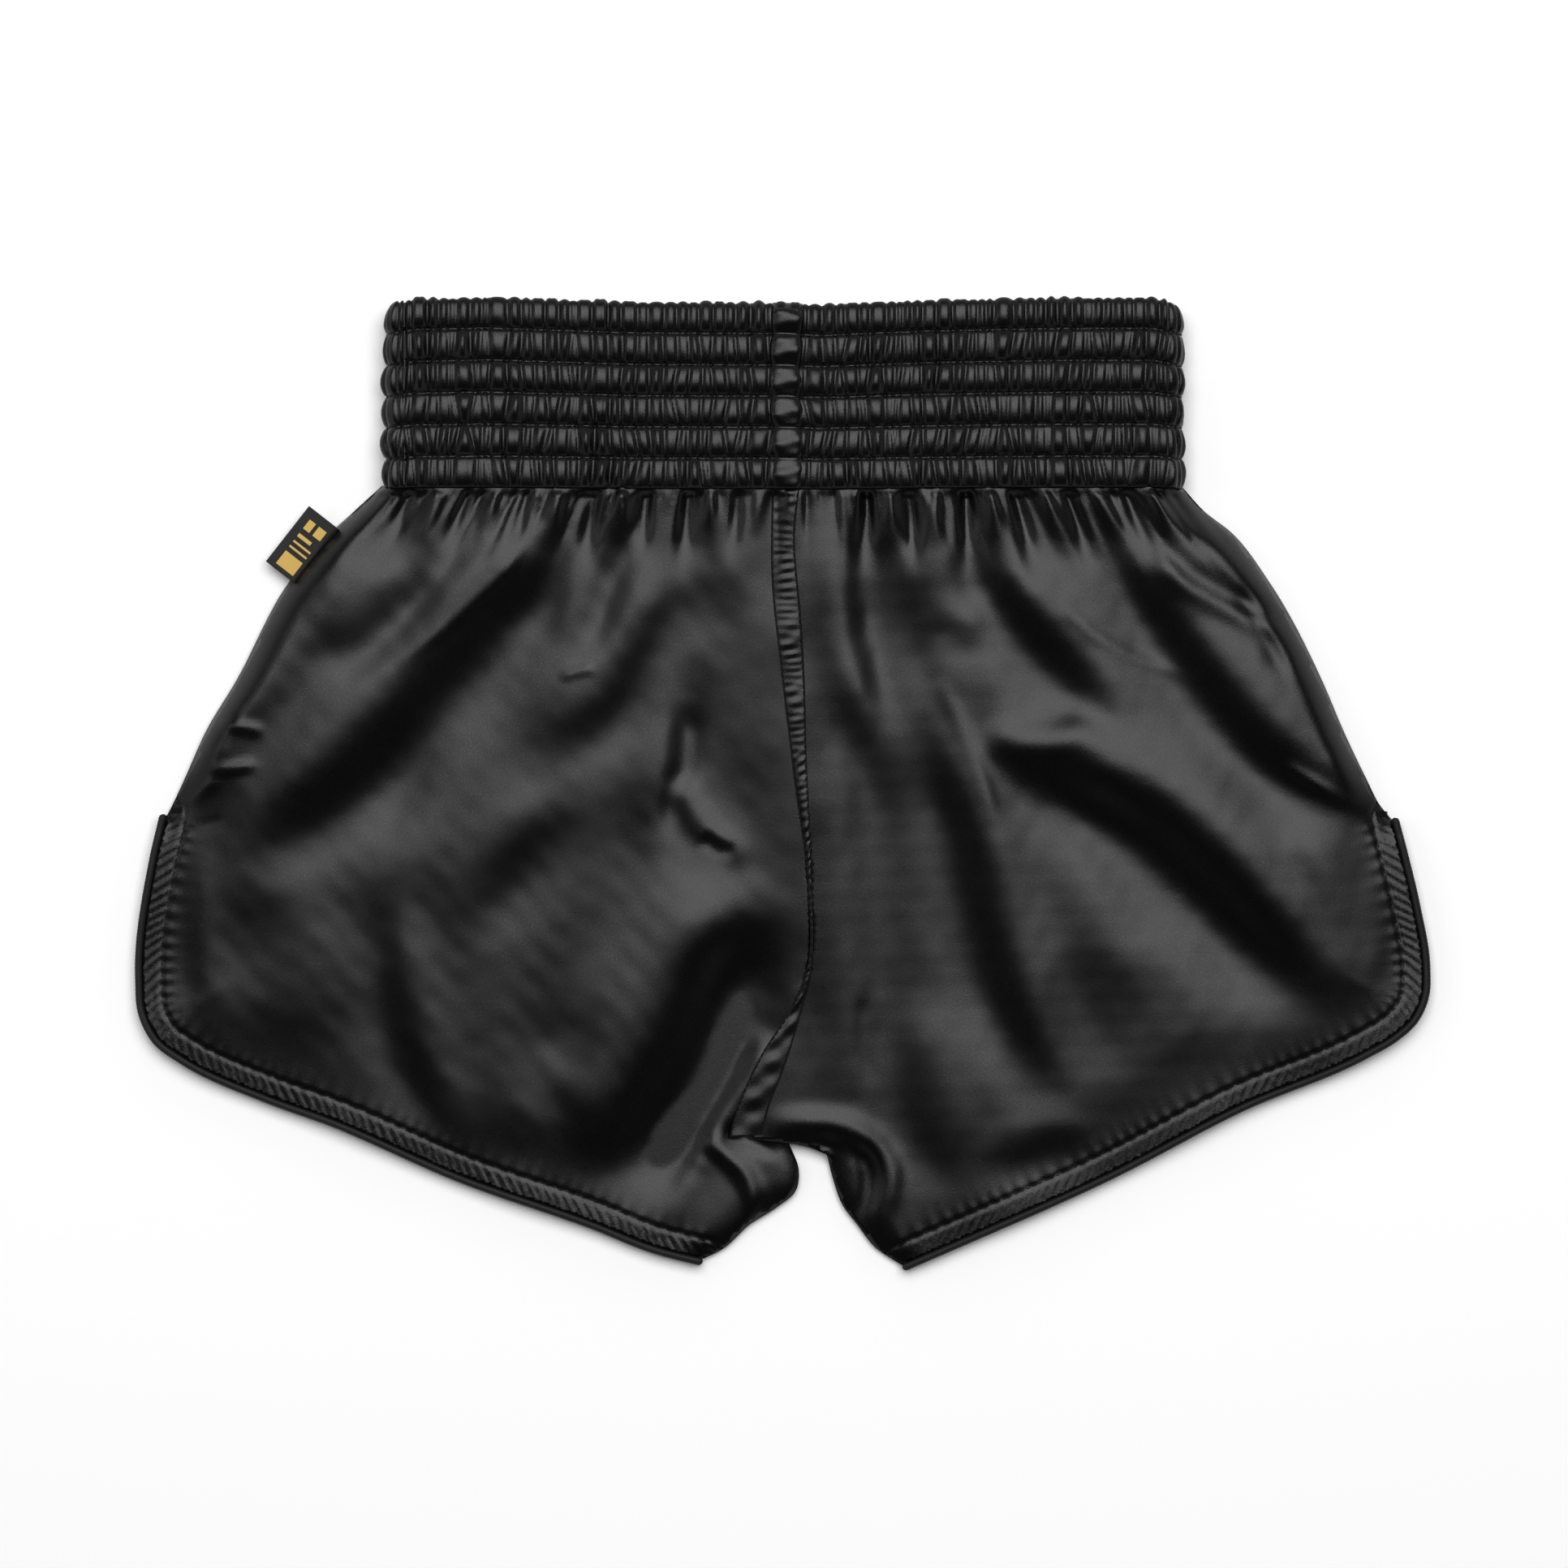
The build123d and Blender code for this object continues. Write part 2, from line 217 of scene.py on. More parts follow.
# Broad folds: points along the middle of the slope, how far the cloth drops from its crest to its
# trough, and half the width of the slope. It drops to the left of someone walking along it, or to
# the right where the drop is negative.
SLOPES = {
    "left": [
        ([(-84, 118), (-99, 90), (-120, 70), (-142, 44), (-168, 16), (-196, -10),
          (-232, -36)], 7.6, 12),
        ([(-40, 92), (-53, 64), (-65, 43), (-80, 25), (-100, 10)], 3.4, 8),
        ([(-88, -2), (-105, -24), (-122, -44), (-134, -70)], 2.2, 8),
        ([(-72, 104), (-78, 84), (-82, 66), (-88, 52)], 3.0, 5),
        ([(-42, 60), (-46, 20), (-47, -10), (-52, -40)], 2.6, 6),
        ([(8, -52), (-14, -60), (-30, -74), (-41, -98), (-55, -124), (-70, -148),
          (-104, -166)], 10.5, 15),
        ([(-160, -40), (-160, -76), (-152, -112), (-138, -142), (-124, -158)], -3.4, 7),
        ([(-150, 92), (-162, 74), (-178, 60), (-196, 54)], 3.6, 9),
        ([(-172, 106), (-186, 88), (-202, 64), (-218, 40), (-232, 22)], -2.6, 6),
        ([(-246, -20), (-243, -60), (-238, -104)], -2.4, 4.5),
        ([(-196, -44), (-206, -76), (-204, -112)], -1.6, 13),
        ([(-112, -96), (-98, -128), (-92, -160)], 1.6, 12),
        ([(-20, 92), (-17, 60), (-20, 24), (-14, -24)], -2.0, 8),
        ([(-120, 108), (-134, 88), (-156, 62), (-184, 38)], -1.6, 5),
    ],
    "right": [
        ([(26, 120), (27, 92), (30, 62), (36, 38), (42, 8)], 5.6, 6),
        ([(48, 106), (52, 78), (62, 50), (66, 30)], -2.4, 7),
        ([(58, 34), (63, 12), (74, -22), (83, -58), (96, -98), (118, -138)], -5.6, 9),
        ([(78, 104), (88, 80), (108, 58), (126, 37), (140, 20)], -4.6, 8),
        ([(66, 72), (76, 62), (86, 60)], -2.8, 6),
        ([(82, 12), (104, 6), (126, -2), (148, -14), (170, -33), (194, -57),
          (214, -79), (236, -100)], -8.8, 12),
        ([(128, 122), (143, 90), (159, 64), (178, 38), (198, 14), (218, -2), (244, -22)], -6.0, 9),
        ([(150, 112), (166, 92), (184, 80), (206, 70)], -2.6, 5),
        ([(24, 30), (28, -20), (32, -60), (34, -100), (34, -132)], 3.4, 9),
        ([(46, -84), (52, -116), (62, -146), (78, -172)], -2.2, 9),
        ([(130, -146), (106, -150), (80, -160)], 3.2, 7),
        ([(246, -30), (250, -60), (244, -88)], 2.2, 4.5),
        ([(128, -60), (140, -90), (152, -124)], -1.6, 12),
        ([(200, -20), (222, -44), (236, -72)], -1.8, 8),
    ],
}

# Small creases: points along the crest or trough, height, reach to its left and to its right
FOLDS = {
    "left": [
        ([(-100, 112), (-110, 92), (-130, 72), (-158, 48)], 0.7, 2.6, 3.4),
        ([(-38, 36), (-40, 8), (-46, -8), (-48, -26)], -1.4, 5, 6),
        ([(-44, 6), (-36, -12), (-24, -24), (-10, -30)], 1.5, 6, 6),
        ([(-34, -20), (-26, -26), (-18, -26)], -1.0, 3, 3.5),
        ([(-4, -100), (-16, -122), (-30, -146), (-34, -160)], 2.2, 5, 6),
        ([(-232, 26), (-222, 24), (-211, 22)], 0.8, 2.2, 2.2),
        ([(-236, 6), (-226, 7), (-214, 9)], 0.9, 2.2, 2.2),
        ([(-247, -9), (-240, -3), (-229, 4)], 0.9, 2.0, 2.6),
        ([(-250, -16), (-240, -17), (-228, -13)], -0.8, 2.4, 2.4),
        ([(-36, -143), (-26, -150), (-16, -160), (-13, -174), (-24, -188)], 2.0, 4.5, 3.5),
        ([(-26, -140), (-12, -146), (0, -152)], -1.4, 3.5, 3.5),
        ([(-30, -148), (-38, -160), (-46, -176), (-54, -184)], 1.2, 7, 6),
        ([(-104, -160), (-84, -170), (-62, -178)], -1.2, 4, 5),
        ([(-92, 44), (-84, 47), (-76, 48)], 0.6, 2.0, 2.0),
    ],
    "right": [
        ([(62, 46), (70, 30), (80, 6), (88, -20)], 0.6, 3.0, 4.0),
        ([(80, 24), (98, 17), (116, 20), (134, 28)], 1.8, 8, 8),
        ([(112, 76), (124, 64), (144, 52), (168, 44)], 0.5, 2.6, 3.0),
        ([(150, 98), (162, 84), (178, 74), (196, 65), (208, 59)], 1.8, 4, 5),
        ([(202, 10), (222, -2), (239, -10)], 1.0, 2.6, 3.2),
        ([(33, -84), (32, -104), (36, -124)], -0.4, 3, 4),
        ([(-12, -140), (10, -138), (30, -142), (43, -158), (42, -178), (54, -192)], 2.0, 5.5, 5.5),
        ([(24, -150), (33, -152), (35, -166), (31, -180), (40, -190)], -2.4, 5, 5),
        ([(184, 84), (196, 62), (208, 40)], -1.0, 3, 4),
    ],
}

# Deeper gathers that run down from the waist seam: where they start, where they end, depth, reach
GATHERS = [
    (-152, (-162, 96), -1.8, 4), (-140, (-150, 88), 1.6, 4), (-128, (-140, 92), -2.0, 3.4),
    (-117, (-124, 96), 1.6, 3.6), (-104, (-112, 86), -2.0, 4), (-92, (-96, 94), 1.6, 4),
    (-77, (-83, 78), -3.0, 5), (-66, (-66, 96), 1.8, 4), (-56, (-58, 88), -1.7, 3.4),
    (-39, (-42, 82), -2.6, 4.6), (-30, (-30, 96), 1.8, 3.6), (-18, (-22, 84), -2.0, 4),
    (-9, (-12, 100), 1.2, 3), (22, (24, 92), 1.4, 3.6), (34, (32, 84), -2.6, 4.2),
    (44, (44, 92), 1.9, 4), (52, (54, 84), -2.2, 3.6), (62, (62, 94), 1.7, 3.6),
    (74, (76, 80), -2.6, 4), (84, (88, 92), 1.8, 3.8), (94, (104, 78), -2.6, 4.2),
    (105, (116, 92), 1.8, 4), (115, (128, 82), -2.6, 4), (127, (140, 96), 1.8, 4),
    (138, (154, 84), -2.2, 4), (149, (162, 98), 1.6, 3.4), (157, (176, 92), -1.8, 4),
]


def fold_height(x, y, points, height, left, right):
    """Height that one fold adds, dying away at both of its ends."""
    line = smooth_line(points, 4.0)
    distance, along = near_line(x, y, line)
    share = along / along_line(line)[-1]
    fade = ease(share / 0.22) * ease((1 - share) / 0.3)
    reach = np.where(distance > 0, left, right)
    return height * fade * np.exp(-((distance / reach) ** 2))


def slope_height(x, y, points, drop, width):
    """Height that one broad fold adds: a crest beside its line and a trough on the other side."""
    line = smooth_line(points, 4.0)
    distance, along = near_line(x, y, line)
    share = along / along_line(line)[-1]
    fade = ease(share / 0.25) * ease((1 - share) / 0.35)
    across = distance / (width * (0.75 + 0.5 * np.sin(math.pi * share)))
    return -0.5 * drop * fade * across * np.exp((1 - across**2) / 2)


NET_STEP = 2.5
NET_X = np.arange(-284.0, 284.1, NET_STEP)
NET_Y = np.arange(-216.0, 136.1, NET_STEP)
NETS = {}


def smoothed(net, reach):
    """A net of heights with each one averaged with its neighbours."""
    weights = np.exp(-0.5 * (np.arange(-3, 4) / reach) ** 2)
    weights /= weights.sum()
    for axis in (0, 1):
        padded = np.pad(net, [(3, 3) if a == axis else (0, 0) for a in (0, 1)], mode="edge")
        net = sum(w * np.take(padded, np.arange(k, k + net.shape[axis]), axis=axis)
                  for k, w in enumerate(weights))
    return net


def broad_folds(x, y, leg):
    """Height that all broad folds of one leg add together."""
    if leg not in NETS:
        gx, gy = np.meshgrid(NET_X, NET_Y)
        total = np.zeros(gx.size)
        for points, drop, width in SLOPES[leg]:
            total += slope_height(gx.ravel(), gy.ravel(), points, drop, width)
        NETS[leg] = smoothed(total.reshape(gx.shape), 1.3)
    net = NETS[leg]
    column = np.clip((x - NET_X[0]) / NET_STEP, 0, len(NET_X) - 1.001)
    row = np.clip((y - NET_Y[0]) / NET_STEP, 0, len(NET_Y) - 1.001)
    c, r = column.astype(int), row.astype(int)
    fc, fr = column - c, row - r
    low = net[r, c] * (1 - fc) + net[r, c + 1] * fc
    high = net[r + 1, c] * (1 - fc) + net[r + 1, c + 1] * fc
    return low * (1 - fr) + high * fr


def crests(phase):
    """Rounded crests between sharp valleys, one for each whole number of phase."""
    return 1 - np.abs(2 * (phase % 1.0) - 1) ** 2.4


def gather_height(x, y):
    """Small gathers that hang from the waist seam and spread as they run down."""
    below = np.maximum(WAIST_SEAM_Y - y, 0)
    half = np.interp(y, ARCH_Y, ARCH_HALF)
    place = x * WAIST_HALF / half + 0.04 * below * np.sin(x / 17.0)
    fine = crests((place + 1.3 * np.sin(place / 9.0)) / 5.2) - 0.6
    wide = crests((place + 3.0 * np.sin(place / 23.0 + 1)) / 11.6) - 0.6
    slow = np.sin(2 * math.pi * (place + 6 * np.sin(place / 41.0)) / 27.0)
    total = 0.95 * fine * np.exp(-((below / 7) ** 1.4))
    total += 2.1 * wide * np.exp(-((below / 20) ** 1.6)) * (0.6 + 0.4 * np.sin(place / 19.0))
    total += 0.8 * slow * np.exp(-((below / 46) ** 1.8))
    for start, end, height, reach in GATHERS:
        top = (start, WAIST_SEAM_Y + 1)
        middle = ((start * 0.45 + end[0] * 0.55), (WAIST_SEAM_Y + end[1]) / 2)
        line = smooth_line([top, middle, end], 3.0)
        distance, along = near_line(x, y, line)
        share = along / along_line(line)[-1]
        narrow = reach * (0.6 + 0.6 * share)
        total += 1.25 * height * ease((1 - share) / 0.75) * np.exp(-((distance / narrow) ** 2))
    return total


def back_height(x, y, leg):
    """Height of the outer face of the back of one leg over the table."""
    side = LEGS[leg]
    half = np.interp(y, ARCH_Y, ARCH_HALF)
    across = np.abs(x - 5) / half
    centre = np.interp(y, ARCH_Y, ARCH_CENTRE)
    middle = np.interp(y, ARCH_Y, ARCH_MIDDLE)
    z = centre + (middle - centre) * ease(across / 0.6)
    z += gather_height(x, y)
    for points, height, left, right in FOLDS[leg]:
        z += fold_height(x, y, points, height, left, right)
    z += broad_folds(x, y, leg)
    z += waves(x, y, 3 + side, 70, 36, 9, 0.30) + waves(x, y, 9 + side, 15, 8, 7, 0.035)
    # faint straight pulls that fan out from the waist
    fan = np.arctan2(x, 330 - y)
    pull = np.sin(46 * fan + 0.6 * np.sin(y / 31.0))
    pull = pull + 0.7 * np.sin(79 * fan + 2 + 0.8 * np.sin(y / 23.0))
    z += 0.26 * pull * (0.5 + 0.5 * np.sin(x / 37.0 + y / 29.0)) * ease((WAIST_SEAM_Y - y) / 60)
    hem_line = smooth_line(HEM[leg], 3.0)
    hem_distance, hem_along = near_line(x, y, hem_line)
    hem_distance = np.abs(hem_distance)
    hem_length = along_line(hem_line)[-1]
    hem_rest = 5.4 + 0.8 * np.sin(math.pi * np.clip(hem_along / hem_length, 0, 1)) ** 1.5
    hem_rest += 0.5 * np.sin(hem_along / 13.0)
    z = hem_rest + (z - hem_rest) * ease((hem_distance + 3) / 40)
    closed = np.minimum(away_from(x, y, SIDE_SEAM[leg]), away_from(x, y, INNER_LEG[leg]))
    round_edge = 1 - (1 - np.clip(closed / 13, 0, 1)) ** 2.4
    z = 2.7 + (z - 2.7) * round_edge
    if leg == "right":
        lifted = 1 - (1 - np.clip(away_from(x, y, CROTCH[leg]) / 5, 0, 1)) ** 2.2
        z = 5.6 + (z - 5.6) * lifted
    # hem band: puckered facing inside, a stitched groove, and small pulls above it
    band = hem_distance < HEM_BAND
    lean = hem_along + 0.9 * hem_distance + 1.1 * np.sin(hem_along / 7.0)
    pucker = np.sin(2 * math.pi * lean / 4.3) + 0.5 * np.sin(2 * math.pi * lean / 2.7 + 1)
    swell = np.sin(math.pi * np.clip(hem_distance / HEM_BAND, 0, 1)) ** 0.6
    z += np.where(band, 0.22 * pucker * swell, 0)
    above = np.clip(hem_distance - HEM_BAND, 0, None)
    pulls = np.sin(2 * math.pi * (hem_along + 2 * np.sin(hem_along / 11.0)) / 6.1)
    z += np.where(band, 0, 0.22 * pulls * np.exp(-above / 4.0))
    z -= 0.45 * np.exp(-(((hem_distance - HEM_BAND) / 0.9) ** 2))
    # pulled down into the waist seam
    tuck = ease((y - (WAIST_SEAM_Y - 3.5)) / 3.5)
    z = z + (WAIST_MIDDLE_Z + 6.4 - z) * 0.75 * tuck * round_edge
    return np.maximum(z, 2.2)


def front_height(x, y, leg):
    """Height of the outer, lower face of the front over the table."""
    closed = np.minimum(away_from(x, y, SIDE_SEAM[leg]), away_from(x, y, INNER_LEG[leg]))
    hem_distance = away_from(x, y, HEM[leg])
    z = 0.55 + 1.5 * np.exp(-closed / 3.5) + 0.9 * np.exp(-hem_distance / 5.0)
    z += 0.25 * np.abs(waves(x, y, 21, 50, 20, 8, 1.0)) * ease(hem_distance / 14)
    below = np.maximum(WAIST_SEAM_Y - y, 0)
    z += (0.5 + 0.45 * crests(x / 5.4)) * np.exp(-((below / 16) ** 1.4))
    return z


# ------------------------------------------------------------------ making meshes

def select_only(*objects):
    """Select these objects and nothing else, with the first one active."""
    bpy.ops.object.select_all(action="DESELECT")
    for piece in objects:
        piece.select_set(True)
    bpy.context.view_layer.objects.active = objects[0]


def make_piece(name, points, faces, uv=None):
    """A mesh object in metres from points in millimetres, with its own map if one is given."""
    mesh = bpy.data.meshes.new(name)
    mesh.from_pydata((np.asarray(points) * MM).tolist(), [], [list(map(int, f)) for f in faces])
    if uv is not None:
        layer = mesh.uv_layers.new(name="cloth")
        order = np.empty(len(mesh.loops), dtype=np.int32)
        mesh.loops.foreach_get("vertex_index", order)
        layer.data.foreach_set("uv", (np.asarray(uv) * MM)[order].astype(np.float32).ravel())
    mesh.update()
    mesh.validate()
    piece = bpy.data.objects.new(name, mesh)
    bpy.context.collection.objects.link(piece)
    mesh.polygons.foreach_set("use_smooth", np.ones(len(mesh.polygons), dtype=bool))
    return piece


def thicken(piece, thickness=CLOTH, side=-1):
    """Give a sheet its thickness, towards the inside of its faces by default."""
    select_only(piece)
    wall = piece.modifiers.new("Solidify", "SOLIDIFY")
    wall.thickness = thickness * MM
    wall.offset = side
    bpy.ops.object.modifier_apply(modifier=wall.name)
    return piece


def recalculate(piece):
    """Point the faces of a closed mesh outwards."""
    select_only(piece)
    bpy.ops.object.mode_set(mode="EDIT")
    bpy.ops.mesh.select_all(action="SELECT")
    bpy.ops.mesh.normals_make_consistent(inside=False)
    bpy.ops.object.mode_set(mode="OBJECT")
    return piece


def grid_faces(rows, columns, closed=False):
    """Quads of a grid stored row by row; closed joins the last column to the first."""
    across = columns if closed else columns - 1
    r, c = np.meshgrid(np.arange(rows - 1), np.arange(across), indexing="ij")
    a = r * columns + c
    b = r * columns + (c + 1) % columns
    return np.stack([a, b, b + columns, a + columns], axis=-1).reshape(-1, 4)


def inside_outline(x, y, outline):
    """Which places are inside a closed outline."""
    inside = np.zeros(x.shape, bool)
    for a, b in zip(outline, np.roll(outline, -1, axis=0)):
        crosses = (a[1] > y) != (b[1] > y)
        reach = a[0] + (y - a[1]) * (b[0] - a[0]) / (b[1] - a[1] + 1e-12)
        inside ^= crosses & (x < reach)
    return inside


def middle_line():
    """Line down the middle of the felled seam, where the two back panels meet under it."""
    count = 60
    first = even_line(smooth_line(SEAM_LINE), 2.0)
    second = even_line(smooth_line(SECOND_LINE), 2.0)
    share = np.linspace(0, 1, count)
    pick = [np.stack([np.interp(share, np.linspace(0, 1, len(l)), l[:, k]) for k in (0, 1)], 1)
            for l in (first, second)]
    return (pick[0] + pick[1]) / 2


def panel_outline(leg, step):
    """Closed outline of one leg panel, counter-clockwise or not as the side needs."""
    parts = [
        even_line(smooth_line(SIDE_SEAM[leg]), step),
        even_line(smooth_line(HEM[leg]), step),
        even_line(smooth_line(INNER_LEG[leg]), step)[::-1],
        even_line(smooth_line(CROTCH[leg]), step)[::-1],
        even_line(middle_line(), step)[::-1],
    ]
    waist = even_line(np.array([parts[-1][-1], parts[0][0]]), step)
    parts.append(waist)
    return np.concatenate([part[:-1] for part in parts])


def panel_points(leg, step):
    """Places over a panel: closer together along the hem band and in the gathers."""
    outline = panel_outline(leg, 1.2)
    low, high = outline.min(0), outline.max(0)
    rng = np.random.default_rng(5)
    layers = []
    for spacing in (step, step * 0.62):
        xs = np.arange(low[0], high[0], spacing)
        ys = np.arange(low[1], high[1], spacing * 0.866)
        x, y = np.meshgrid(xs, ys)
        x = x + (np.arange(len(ys)) % 2)[:, None] * spacing / 2
        x, y = x.ravel(), y.ravel()
        x = x + rng.uniform(-0.12, 0.12, x.shape) * spacing
        y = y + rng.uniform(-0.12, 0.12, y.shape) * spacing
        keep = inside_outline(x, y, outline)
        x, y = x[keep], y[keep]
        to_edge = np.abs(near_line(x, y, np.vstack([outline, outline[:1]]))[0])
        x, y = x[to_edge > 0.5 * spacing], y[to_edge > 0.5 * spacing]
        fine = (away_from(x, y, HEM[leg]) < HEM_BAND + 5) | (y > WAIST_SEAM_Y - 22)
        use = fine if spacing < step else ~fine
        layers.append(np.stack([x[use], y[use]], axis=1))
    return outline, np.concatenate(layers)


def panel_mesh(leg, step):
    """Flat net of triangles that fills a leg panel."""
    outline, inner = panel_points(leg, step)
    points = np.concatenate([outline, inner])
    ring = [(k, (k + 1) % len(outline)) for k in range(len(outline))]
    places = [Vector(p) for p in points.tolist()]
    verts, _, faces, *_ = delaunay_2d_cdt(places, ring, [], 1, 1e-5)
    flat = np.array([(v.x, v.y) for v in verts])
    return flat, [list(f) for f in faces]


def face_up(flat, faces, up=True):
    """Turn every flat face the same way round."""
    out = []
    for f in faces:
        p = flat[f]
        area = sum(p[k - 1][0] * p[k][1] - p[k][0] * p[k - 1][1] for k in range(len(p)))
        out.append(f if (area > 0) == up else f[::-1])
    return out


def tube(name, line, radius, around=12, rib=0.0, rib_pitch=1.6):
    """Round cord along a line in space, with ribs of cloth if asked, and rounded ends."""
    line = np.asarray(line)
    at = along_line(line)
    tangent = np.gradient(line, axis=0)
    tangent /= np.linalg.norm(tangent, axis=1)[:, None]
    up = np.array([0.0, 0.0, 1.0])
    side = np.cross(tangent, up)
    side /= np.linalg.norm(side, axis=1)[:, None]
    over = np.cross(side, tangent)
    angle = np.arange(around) * 2 * math.pi / around
    lean = at[:, None] + 0.6 * radius * angle
    r = radius - rib * (0.5 + 0.5 * np.cos(2 * math.pi * lean / rib_pitch))
    ends = np.sqrt(np.clip(1 - (1 - np.minimum(at, at[-1] - at) / radius) ** 2, 0.02, 1))
    ends = np.where(np.minimum(at, at[-1] - at) < radius, ends, 1)
    r = r * ends[:, None]
    ring = (side[:, None] * np.cos(angle)[None, :, None]
            + over[:, None] * np.sin(angle)[None, :, None])
    points = (line[:, None] + ring * r[..., None]).reshape(-1, 3)
    faces = grid_faces(len(line), around, closed=True)
    faces = [list(f) for f in faces]
    faces.append(list(range(around))[::-1])
    faces.append([(len(line) - 1) * around + k for k in range(around)])
    uv = np.stack([np.repeat(at, around), np.tile(angle * radius, len(line))], axis=1)
    return recalculate(make_piece(name, points, faces, uv))


def stitches(name, lines, pitch=2.7, length=2.0, thick=0.42):
    """Rows of short thread stitches, each a small bead sunk at both of its ends."""
    around, spans = 6, 5
    points, faces = [], []
    for line, normals in lines:
        at = along_line(line)
        for start in np.arange(0.4, at[-1] - length, pitch):
            where = start + length * np.linspace(0, 1, spans)
            spine = np.stack([np.interp(where, at, line[:, k]) for k in range(3)], axis=1)
            normal = np.stack([np.interp(where, at, normals[:, k]) for k in range(3)], axis=1)
            run = spine[-1] - spine[0]
            run /= np.linalg.norm(run)
            bow = np.sin(math.pi * np.linspace(0, 1, spans))
            spine = spine + normal * (0.32 * thick * bow - 0.1 * thick)[:, None]
            across = np.cross(run, normal)
            across /= np.linalg.norm(across, axis=1)[:, None]
            over = np.cross(across, run)
            radius = thick / 2 * np.maximum(bow, 0.25) ** 0.5
            base = len(points)
            for k in range(spans):
                for turn in np.arange(around) * 2 * math.pi / around:
                    offset = across[k] * math.cos(turn) + over[k] * math.sin(turn)
                    points.append(spine[k] + offset * radius[k])
            faces.extend((grid_faces(spans, around, closed=True) + base).tolist())
            faces.append([base + k for k in range(around)][::-1])
            faces.append([base + (spans - 1) * around + k for k in range(around)])
    return make_piece(name, np.array(points), faces)


def strip_sheet(name, left, right, height, rows=260, columns=12):
    """Strip of cloth between two flat lines, at the height that a function gives."""
    share = np.linspace(0, 1, rows)
    edges = []
    for line in (left, right):
        at = along_line(line) / along_line(line)[-1]
        edges.append(np.stack([np.interp(share, at, line[:, k]) for k in (0, 1)], axis=1))
    t = np.linspace(0, 1, columns)[None, :, None]
    flat = edges[0][:, None] * (1 - t) + edges[1][:, None] * t
    along = along_line((edges[0] + edges[1]) / 2)
    x, y = flat[..., 0].ravel(), flat[..., 1].ravel()
    s = np.repeat(along, columns)
    u = np.tile(np.linspace(0, 1, columns), rows)
    z = height(x, y, s, u)
    points = np.column_stack([x, y, z])
    faces = face_up(np.column_stack([x, y]), [list(f) for f in grid_faces(rows, columns)])
    return make_piece(name, points, faces, np.column_stack([x, y]))


# ------------------------------------------------------------------ ruched waistband

def waist_place(s):
    """Place on the waist's middle loop and the way out from it, for a distance round the waist."""
    straight = 2 * (WAIST_HALF - WAIST_MIDDLE_Z)
    turn = math.pi * WAIST_MIDDLE_Z
    s = s % (2 * (straight + turn))
    x = np.zeros(s.shape)
    out_x, out_z = np.zeros(s.shape), np.ones(s.shape)
    over = s < straight
    x = np.where(over, -straight / 2 + s, x)
    right = (s >= straight) & (s < straight + turn)
    angle = (s - straight) / WAIST_MIDDLE_Z
    x = np.where(right, straight / 2, x)
    out_x, out_z = np.where(right, np.sin(angle), out_x), np.where(right, np.cos(angle), out_z)
    under = (s >= straight + turn) & (s < 2 * straight + turn)
    x = np.where(under, straight / 2 - (s - straight - turn), x)
    out_z = np.where(under, -1.0, out_z)
    left = s >= 2 * straight + turn
    angle = (s - 2 * straight - turn) / WAIST_MIDDLE_Z
    x = np.where(left, -straight / 2, x)
    out_x, out_z = np.where(left, -np.sin(angle), out_x), np.where(left, -np.cos(angle), out_z)
    return x, out_x, out_z


def waist_length():
    """Distance round the waist."""
    return 4 * (WAIST_HALF - WAIST_MIDDLE_Z) + 2 * math.pi * WAIST_MIDDLE_Z


def waist_sway(x):
    """How far the rows of the waistband wander up and down from one side to the other."""
    places = [-164, -150, -120, -60, -5, 15, 60, 110, 150, 164]
    return np.interp(x, places, [-2.2, -0.2, 0.4, -1.6, -1.8, -2.6, -0.8, 0.2, 0.3, -2.4])


def waist_y(x, height):
    """Height up the shorts of a row of the waistband, counted in channels from the waist seam."""
    corner = np.clip((np.abs(x) - WAIST_HALF + 9) / 9.5, 0, 1)
    y = WAIST_SEAM_Y + PITCH * height + waist_sway(x) * np.clip(height / CHANNELS + 0.25, 0, 1)
    return y - 6.0 * (1 - np.sqrt(1 - corner**2)) * np.clip(height - CHANNELS + 1, 0, 1)


GROOVE = 7.55                 # distance of a stitch row from the middle of the waist
PUFF = 1.0                    # how far the cloth stands out between stitch rows
PLEAT = 1.9                   # depth of the small pleats


